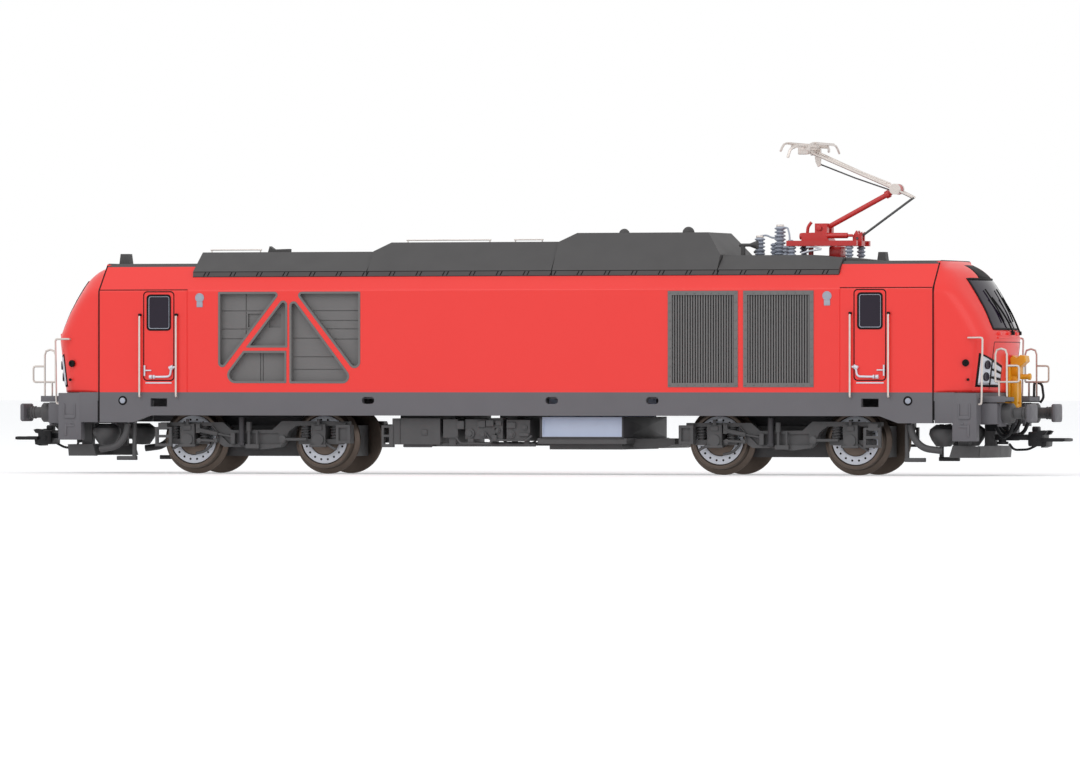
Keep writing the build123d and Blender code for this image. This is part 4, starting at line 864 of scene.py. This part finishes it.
for sign, end in ends:
    addPiece("endFrames_" + end, atEnd(endFrame(), sign), "sillGrey", closed=False,
             instead="end_frame_" + end)
    addPiece("railGuards_" + end, atEnd(railGuard(), sign), "bogieGrey",
             instead="rail_guard_" + end)
    addPiece("couplerHeads_" + end, atEnd(couplerHead(), sign), "couplerBlack",
             "coupler_" + end[0], closed=False, instead="coupler_" + end)
addPiece("bufferBodies", eachCorner(bufferBody()), "bogieGrey", instead="buffers")
addPiece("bufferHeads", eachCorner(bufferHead()), "sillGrey")
addPiece("hoses", bothEnds(hoses()), "couplerBlack")
addPiece("yellowCoupler", yellowCoupler(), "couplerYellow", instead="shunting_coupler")
addPiece("bodyJoints", bothEnds(bodyJoint()), "lineDark")
print("ends made")


# Roof fittings: slanted clips in pairs along the hood ledge, the dark lines over and under it, and
# thin light rails on top of the hoods. Rails: start, end, height, height of the feet.
roofLook = dict(y=14.51, low=41.2, high=42.4, start=-70.6, end=70.5, pitch=6.05, gap=0.9, width=0.26,
                slant=0.55, proud=0.05, lines=(-73.0, 72.2), railY=-6.2,
                rails=[(-72.0, -60.2, 47.2, 46.65), (-27.1, -7.9, 49.1, 48.6), (-2.7, 3.9, 49.1, 48.6)])


def ledgeClips():
    look = roofLook
    y, low, high = look["y"], look["low"] + 0.18, look["high"] - 0.15
    half = look["width"] / 2
    points, faces = softBlock(-half, half, -y - look["proud"], -y + 0.1, low, high, 0.05)
    points[:, 0] += (points[:, 2] - low) * look["slant"]
    starts = np.arange(look["start"], look["end"], look["pitch"])
    places = [(x, 0, 0) for x in (*starts, *(starts + look["gap"]))]
    lines = blockShapes((*look["lines"], -y - 0.03, -y + 0.1, z, z + 0.14, 0.04)
                        for z in (look["low"] - 0.03, look["high"] - 0.13))
    return bothSides(together([copiesAt((points, faces), places)] + lines))


def roofRail(x0, x1, z, foot):
    y = roofLook["railY"]
    feet = [barShape([(x, y, foot), (x, y, z)], 0.13, 8) for x in (x0 + 0.3, x1 - 0.3)]
    return together([barShape([(x0, y, z), (x1, y, z)], 0.14, 10)] + feet)


addPiece("ledgeClips", ledgeClips(), "lineDark")
addPiece("roofRails", together([roofRail(*row) for row in roofLook["rails"]]), "wireNickel")
print("roof fittings made")


# Grille bolts: low turned heads round each frame.
grilleLook = dict(spans=[(35.3, 50.8), (52.0, 67.5)], low=17.5, high=37.9, inset=0.45, y=-17.45, radius=0.2,
                  columns=9, rows=11)


def grilleBolts():
    look = grilleLook
    radius, inset = look["radius"], look["inset"]
    head = turnedShape([(0.1, radius), (-0.06, radius), (-0.12, radius * 0.6), (-0.13, 0)], (0, look["y"], 0),
                       sides=10)
    upward = np.linspace(look["low"] + inset, look["high"] - inset, look["rows"])
    places = []
    for x0, x1 in look["spans"]:
        along = np.linspace(x0 + inset, x1 - inset, look["columns"])
        places += [(x, 0, z) for x in along for z in upward[[0, -1]]]
        places += [(x, 0, z) for x in along[[0, -1]] for z in upward[1:-1]]
    return bothSides(copiesAt(head, places))


addPiece("grilleBolts", grilleBolts(), "panelGrey", closed=False)
print("grille bolts made")


# Door fittings, all in distances from the middle of a door: dark outline, thick window rubber with
# a light bead inside, bent handle pipe with its collars, pale line under the leaf, and seam lines.
doorLook = dict(x=79.85, y=-17.3, lampX=-9.4, lampZ=36.75, leaf=(-3.6, 3.6, 18.8, 38.2), line=0.26,
                pane=(-2.82, 2.82, 29.65, 37.5), rubber=0.42, bead=0.16, capX=8.3, capZ=14.6)


# A rounded rectangle drawn in by so much from its (x0, x1, z0, z1) edges.
def insetOutline(edges, inset, radius):
    x0, x1, z0, z1 = edges
    return roundedOutline(x0 + inset, x1 - inset, z0 + inset, z1 - inset, radius)


def doorBands():
    y, line, leafEdges, pane = (doorLook[key] for key in ("y", "line", "leaf", "pane"))
    leaf = bandShape(insetOutline(leafEdges, 0, 0.95), insetOutline(leafEdges, line, 0.95 - line),
                     y + 0.1, y - 0.03)
    rubber = bandShape(insetOutline(pane, 0, 0.85), insetOutline(pane, doorLook["rubber"], 0.5),
                       y + 0.5, y - 0.16)
    clamps = [barShape([(x, y + 0.1, 33.05), (x, y - 0.85, 33.1)], 0.3, 12) for x in (-4.2, 4.2)]
    return together([leaf, rubber] + clamps)


def doorBeads():
    y, wide = doorLook["y"], doorLook["rubber"]
    return bandShape(insetOutline(doorLook["pane"], wide - 0.03, 0.5),
                     insetOutline(doorLook["pane"], wide + doorLook["bead"], 0.4), y + 0.4, y + 0.02)


def doorPipes():
    y = doorLook["y"] - 0.35
    pipe = pipeShape([(-3.35, y, 21.75), (-2.95, y, 21.7), (-2.75, y, 19.75), (0.95, y, 19.7)],
                     0.9, 0.24, 12, 8)
    bars = [([(-3.4, y, 21.95), (-2.55, y, 21.55)], 0.42, 14), ([(0.8, y, 19.7), (1.15, y, 19.7)], 0.44, 14),
            ([(1.4, y, 19.7), (2.0, y, 19.7)], 0.44, 14),
            ([(3.15, y, 22.2), (3.15, y, 19.9)], 0.2, 12, alongX),
            ([(1.6, y, 21.1), (3.1, y, 21.1)], 0.15, 10)]
    sill = softBlock(-3.0, 3.05, doorLook["y"] - 0.16, doorLook["y"] + 0.1, 18.25, 18.55, 0.06)
    feet = blockShapes((x - 0.2, x + 0.2, y, y + 0.45, z - 0.2, z + 0.2, 0.05)
                       for x, z in ((-3.1, 21.8), (1.6, 19.7), (3.15, 21.1)))
    return together([pipe, sill] + [barShape(*row) for row in bars] + feet)


def doorLamp():
    look = doorLook
    x, y = look["lampX"], look["y"]
    lamp = turnedShape([(0.1, 1.0), (-0.12, 1.0), (-0.18, 0.88), (-0.1, 0.8), (-0.14, 0.4), (-0.16, 0)],
                       (x, y, look["lampZ"]), sides=32)
    foot = softBlock(x - 0.7, x + 0.7, y - 0.12, y + 0.1, 34.7, 35.9, 0.1)
    cap = turnedShape([(0.1, 0.6), (-0.14, 0.6), (-0.2, 0.45), (-0.2, 0)],
                      (look["capX"] + 0.05, y, look["capZ"]), sides=24)
    return together([lamp, foot, cap])


def doorLines():
    y = doorLook["y"]
    ring = turnedShape([(0.1, 1.0), (-0.05, 1.0), (-0.08, 0.9), (-0.05, 0.62), (0.1, 0.6)],
                       (doorLook["capX"], y, doorLook["capZ"]), sides=32)
    return together([softBlock(-6.6, 13.6, y - 0.02, y + 0.1, 38.42, 38.56, 0.03), ring])


for name, shape, finish, slot, closed in (
        ("doorBands", doorBands(), "lineDark", "coupler_black", False),
        ("doorBeads", doorBeads(), "insulatorGrey", "insulator_grey", False),
        ("doorPipes", doorPipes(), "ringSilver", "wire_nickel", True),
        ("doorLamps", doorLamp(), "insulatorGrey", "insulator_grey", False),
        ("doorLines", doorLines(), "lineDark", "coupler_black", False)):
    addPiece(name, eachCorner(moved(shape, x=doorLook["x"])), finish, closed=closed)
print("door fittings made")


# Pantograph fittings: the slanted bow between the pans, the spring boxes, the levelling rod, the
# drop bracket and the bars beside the arm, and the post, bolt, column and loose wires on the base.
panLook = dict(
    bow=[(60.2, -11.9, 66.1), (60.6, -11.4, 67.9), (61.7, -10.2, 68.6), (62.4, 0, 68.7), (62.6, 10.2, 68.7),
         (62.4, 11.5, 68.3), (62.2, 12.0, 67.9)],
    springBox=(60.4, 62.6, -5.3, -3.9, 66.9, 68.9, 0.2),
    rod=[(63.2, 1.9, 65.0), (71.0, 1.9, 62.0), (79.0, 1.9, 59.3)],
    bracket=[(62.0, 67.4), (63.6, 66.8), (63.4, 65.4), (63.5, 64.7), (62.8, 64.4), (62.3, 65.4)],
    armBar=[(62.2, -1.75, 67.3), (79.0, -1.75, 60.7)],
    post=[(61.0, 0, 50.2), (61.1, 0, 51.6), (61.9, 0, 52.6)],
    bolt=[(-3.0, 0), (-3.0, 0.45), (-2.9, 0.6), (-2.5, 0.6)], boltPlace=(64.3, 0, 51.3),
    column=(66.3, 69.0, -2.0, 2.0, 44.9, 47.4, 0.3),
    wires=[(61.3, -5.6, 45.9), (62.9, -5.2, 46.4), (65.7, -5.0, 46.8), (63.7, -5.0, 47.3),
           (62.3, -5.2, 47.2)])


def headBow():
    return together([pipeShape(panLook["bow"], 0.5, 0.3, 10, 5, up=alongX),
                     bothSides(softBlock(*panLook["springBox"]))])


def armMiddle():
    bars = bothSides(barShape(panLook["armBar"], 0.2, 10))
    return together([plateShape(panLook["bracket"], 1.6, 2.2), bars])


def baseFittings():
    return together([pipeShape(panLook["post"], 0.6, 0.35, 12),
                     turnedShape(panLook["bolt"], panLook["boltPlace"], sides=20),
                     softBlock(*panLook["column"])])


addPiece("headBow", headBow(), "wireNickel", "pan_top")
addPiece("armRod", barShape(panLook["rod"], 0.16, 8), "bogieGrey", "pan_upper")
addPiece("armMiddle", armMiddle(), "wireNickel", "pan_upper")
addPiece("baseFittings", baseFittings(), "panRed", closed=False)
addPiece("looseWires", pipeShape(panLook["wires"], 0.4, 0.2, 10), "ringSilver")
print("pantograph fittings made")


# Floor, light and camera, in metres. The floor catches the shadow. What the camera sees behind the
# object is white, while the world that lights it stays a little darker and cooler.
stageLook = dict(floor=(0.80, 0.80, 0.80), sky=(0.95, 0.97, 1.0), skyPower=0.72, seen=1.0, half=9.0,
                 floorGlow=0.35)
lightLook = dict(key=((-0.6, -1.6, 1.3), 1.4, 10), fill=((1.6, -1.2, 0.8), 1.2, 5))  # place, size, power
cameraLook = dict(x=631.15, y=-1919.78, z=17.95, turn=18.17, focal=9402.0, frameWidth=1080, sensor=36,
                  near=0.05, far=60, aim=(0, 0, 0.02))


# One for rays that come from the camera or off a mirroring or clear surface, else zero.
def seenDirectly(nodes, links):
    path = nodes.new("ShaderNodeLightPath")
    total = path.outputs["Is Camera Ray"]
    for kind in ("Is Glossy Ray", "Is Transmission Ray"):
        more = nodes.new("ShaderNodeMath")
        more.operation = "MAXIMUM"
        links.new(total, more.inputs[0])
        links.new(path.outputs[kind], more.inputs[1])
        total = more.outputs["Value"]
    return total


def makeFloor():
    floor = bpy.data.materials.new("paleFloor")
    floor.use_nodes = True
    nodes, links = floor.node_tree.nodes, floor.node_tree.links
    plain = nodes["Principled BSDF"]
    setSockets(plain, {"Roughness": 0.9, "Base Color": (*stageLook["floor"], 1)})
    glow = nodes.new("ShaderNodeEmission")
    both = nodes.new("ShaderNodeAddShader")
    strength = nodes.new("ShaderNodeMath")
    strength.operation = "MULTIPLY"
    strength.inputs[1].default_value = stageLook["floorGlow"]
    links.new(seenDirectly(nodes, links), strength.inputs[0])
    links.new(strength.outputs["Value"], glow.inputs["Strength"])
    links.new(plain.outputs["BSDF"], both.inputs[0])
    links.new(glow.outputs["Emission"], both.inputs[1])
    links.new(both.outputs["Shader"], nodes["Material Output"].inputs["Surface"])
    half = stageLook["half"]
    mesh = bpy.data.meshes.new("floor")
    corners = [(-half, -half, 0), (half, -half, 0), (half, half, 0), (-half, half, 0)]
    mesh.from_pydata(corners, [], [(0, 1, 2, 3)])
    mesh.materials.append(floor)
    ground = bpy.data.objects.new("floor", mesh)
    bpy.context.scene.collection.objects.link(ground)


def makeWorld():
    world = bpy.data.worlds.new("studio")
    bpy.context.scene.world = world
    world.use_nodes = True
    nodes, links = world.node_tree.nodes, world.node_tree.links
    light = nodes["Background"]
    setSockets(light, {"Color": (*stageLook["sky"], 1), "Strength": stageLook["skyPower"]})
    white = addNode(nodes, "Background", {"Color": (1, 1, 1, 1), "Strength": stageLook["seen"]})
    choice = nodes.new("ShaderNodeMixShader")
    links.new(seenDirectly(nodes, links), choice.inputs["Fac"])
    links.new(light.outputs["Background"], choice.inputs[1])
    links.new(white.outputs["Background"], choice.inputs[2])
    links.new(choice.outputs["Shader"], nodes["World Output"].inputs["Surface"])


# A square lamp turned towards the object.
def makeLight(name, place, size, power):
    lamp = bpy.data.lights.new(name, "AREA")
    lamp.size = size
    lamp.energy = power
    holder = bpy.data.objects.new(name, lamp)
    aim = np.array(cameraLook["aim"]) - np.array(place)
    holder.location = place
    holder.rotation_euler = (math.atan2(math.hypot(aim[0], aim[1]), -aim[2]), 0,
                             math.atan2(aim[1], aim[0]) - math.pi / 2)
    bpy.context.scene.collection.objects.link(holder)


def makeCamera():
    look = cameraLook
    lens = bpy.data.cameras.new("camera")
    lens.sensor_width = look["sensor"]
    lens.lens = look["focal"] * look["sensor"] / look["frameWidth"]
    lens.clip_start = look["near"]
    lens.clip_end = look["far"]
    camera = bpy.data.objects.new("camera", lens)
    camera.location = (look["x"] * mm, look["y"] * mm, (look["z"] + railLift) * mm)
    camera.rotation_euler = (math.pi / 2, 0, math.radians(look["turn"]))
    bpy.context.scene.collection.objects.link(camera)
    bpy.context.scene.camera = camera


makeFloor()
makeWorld()
for name, row in lightLook.items():
    makeLight(name, *row)
makeCamera()
bpy.context.scene.view_settings.view_transform = "Standard"
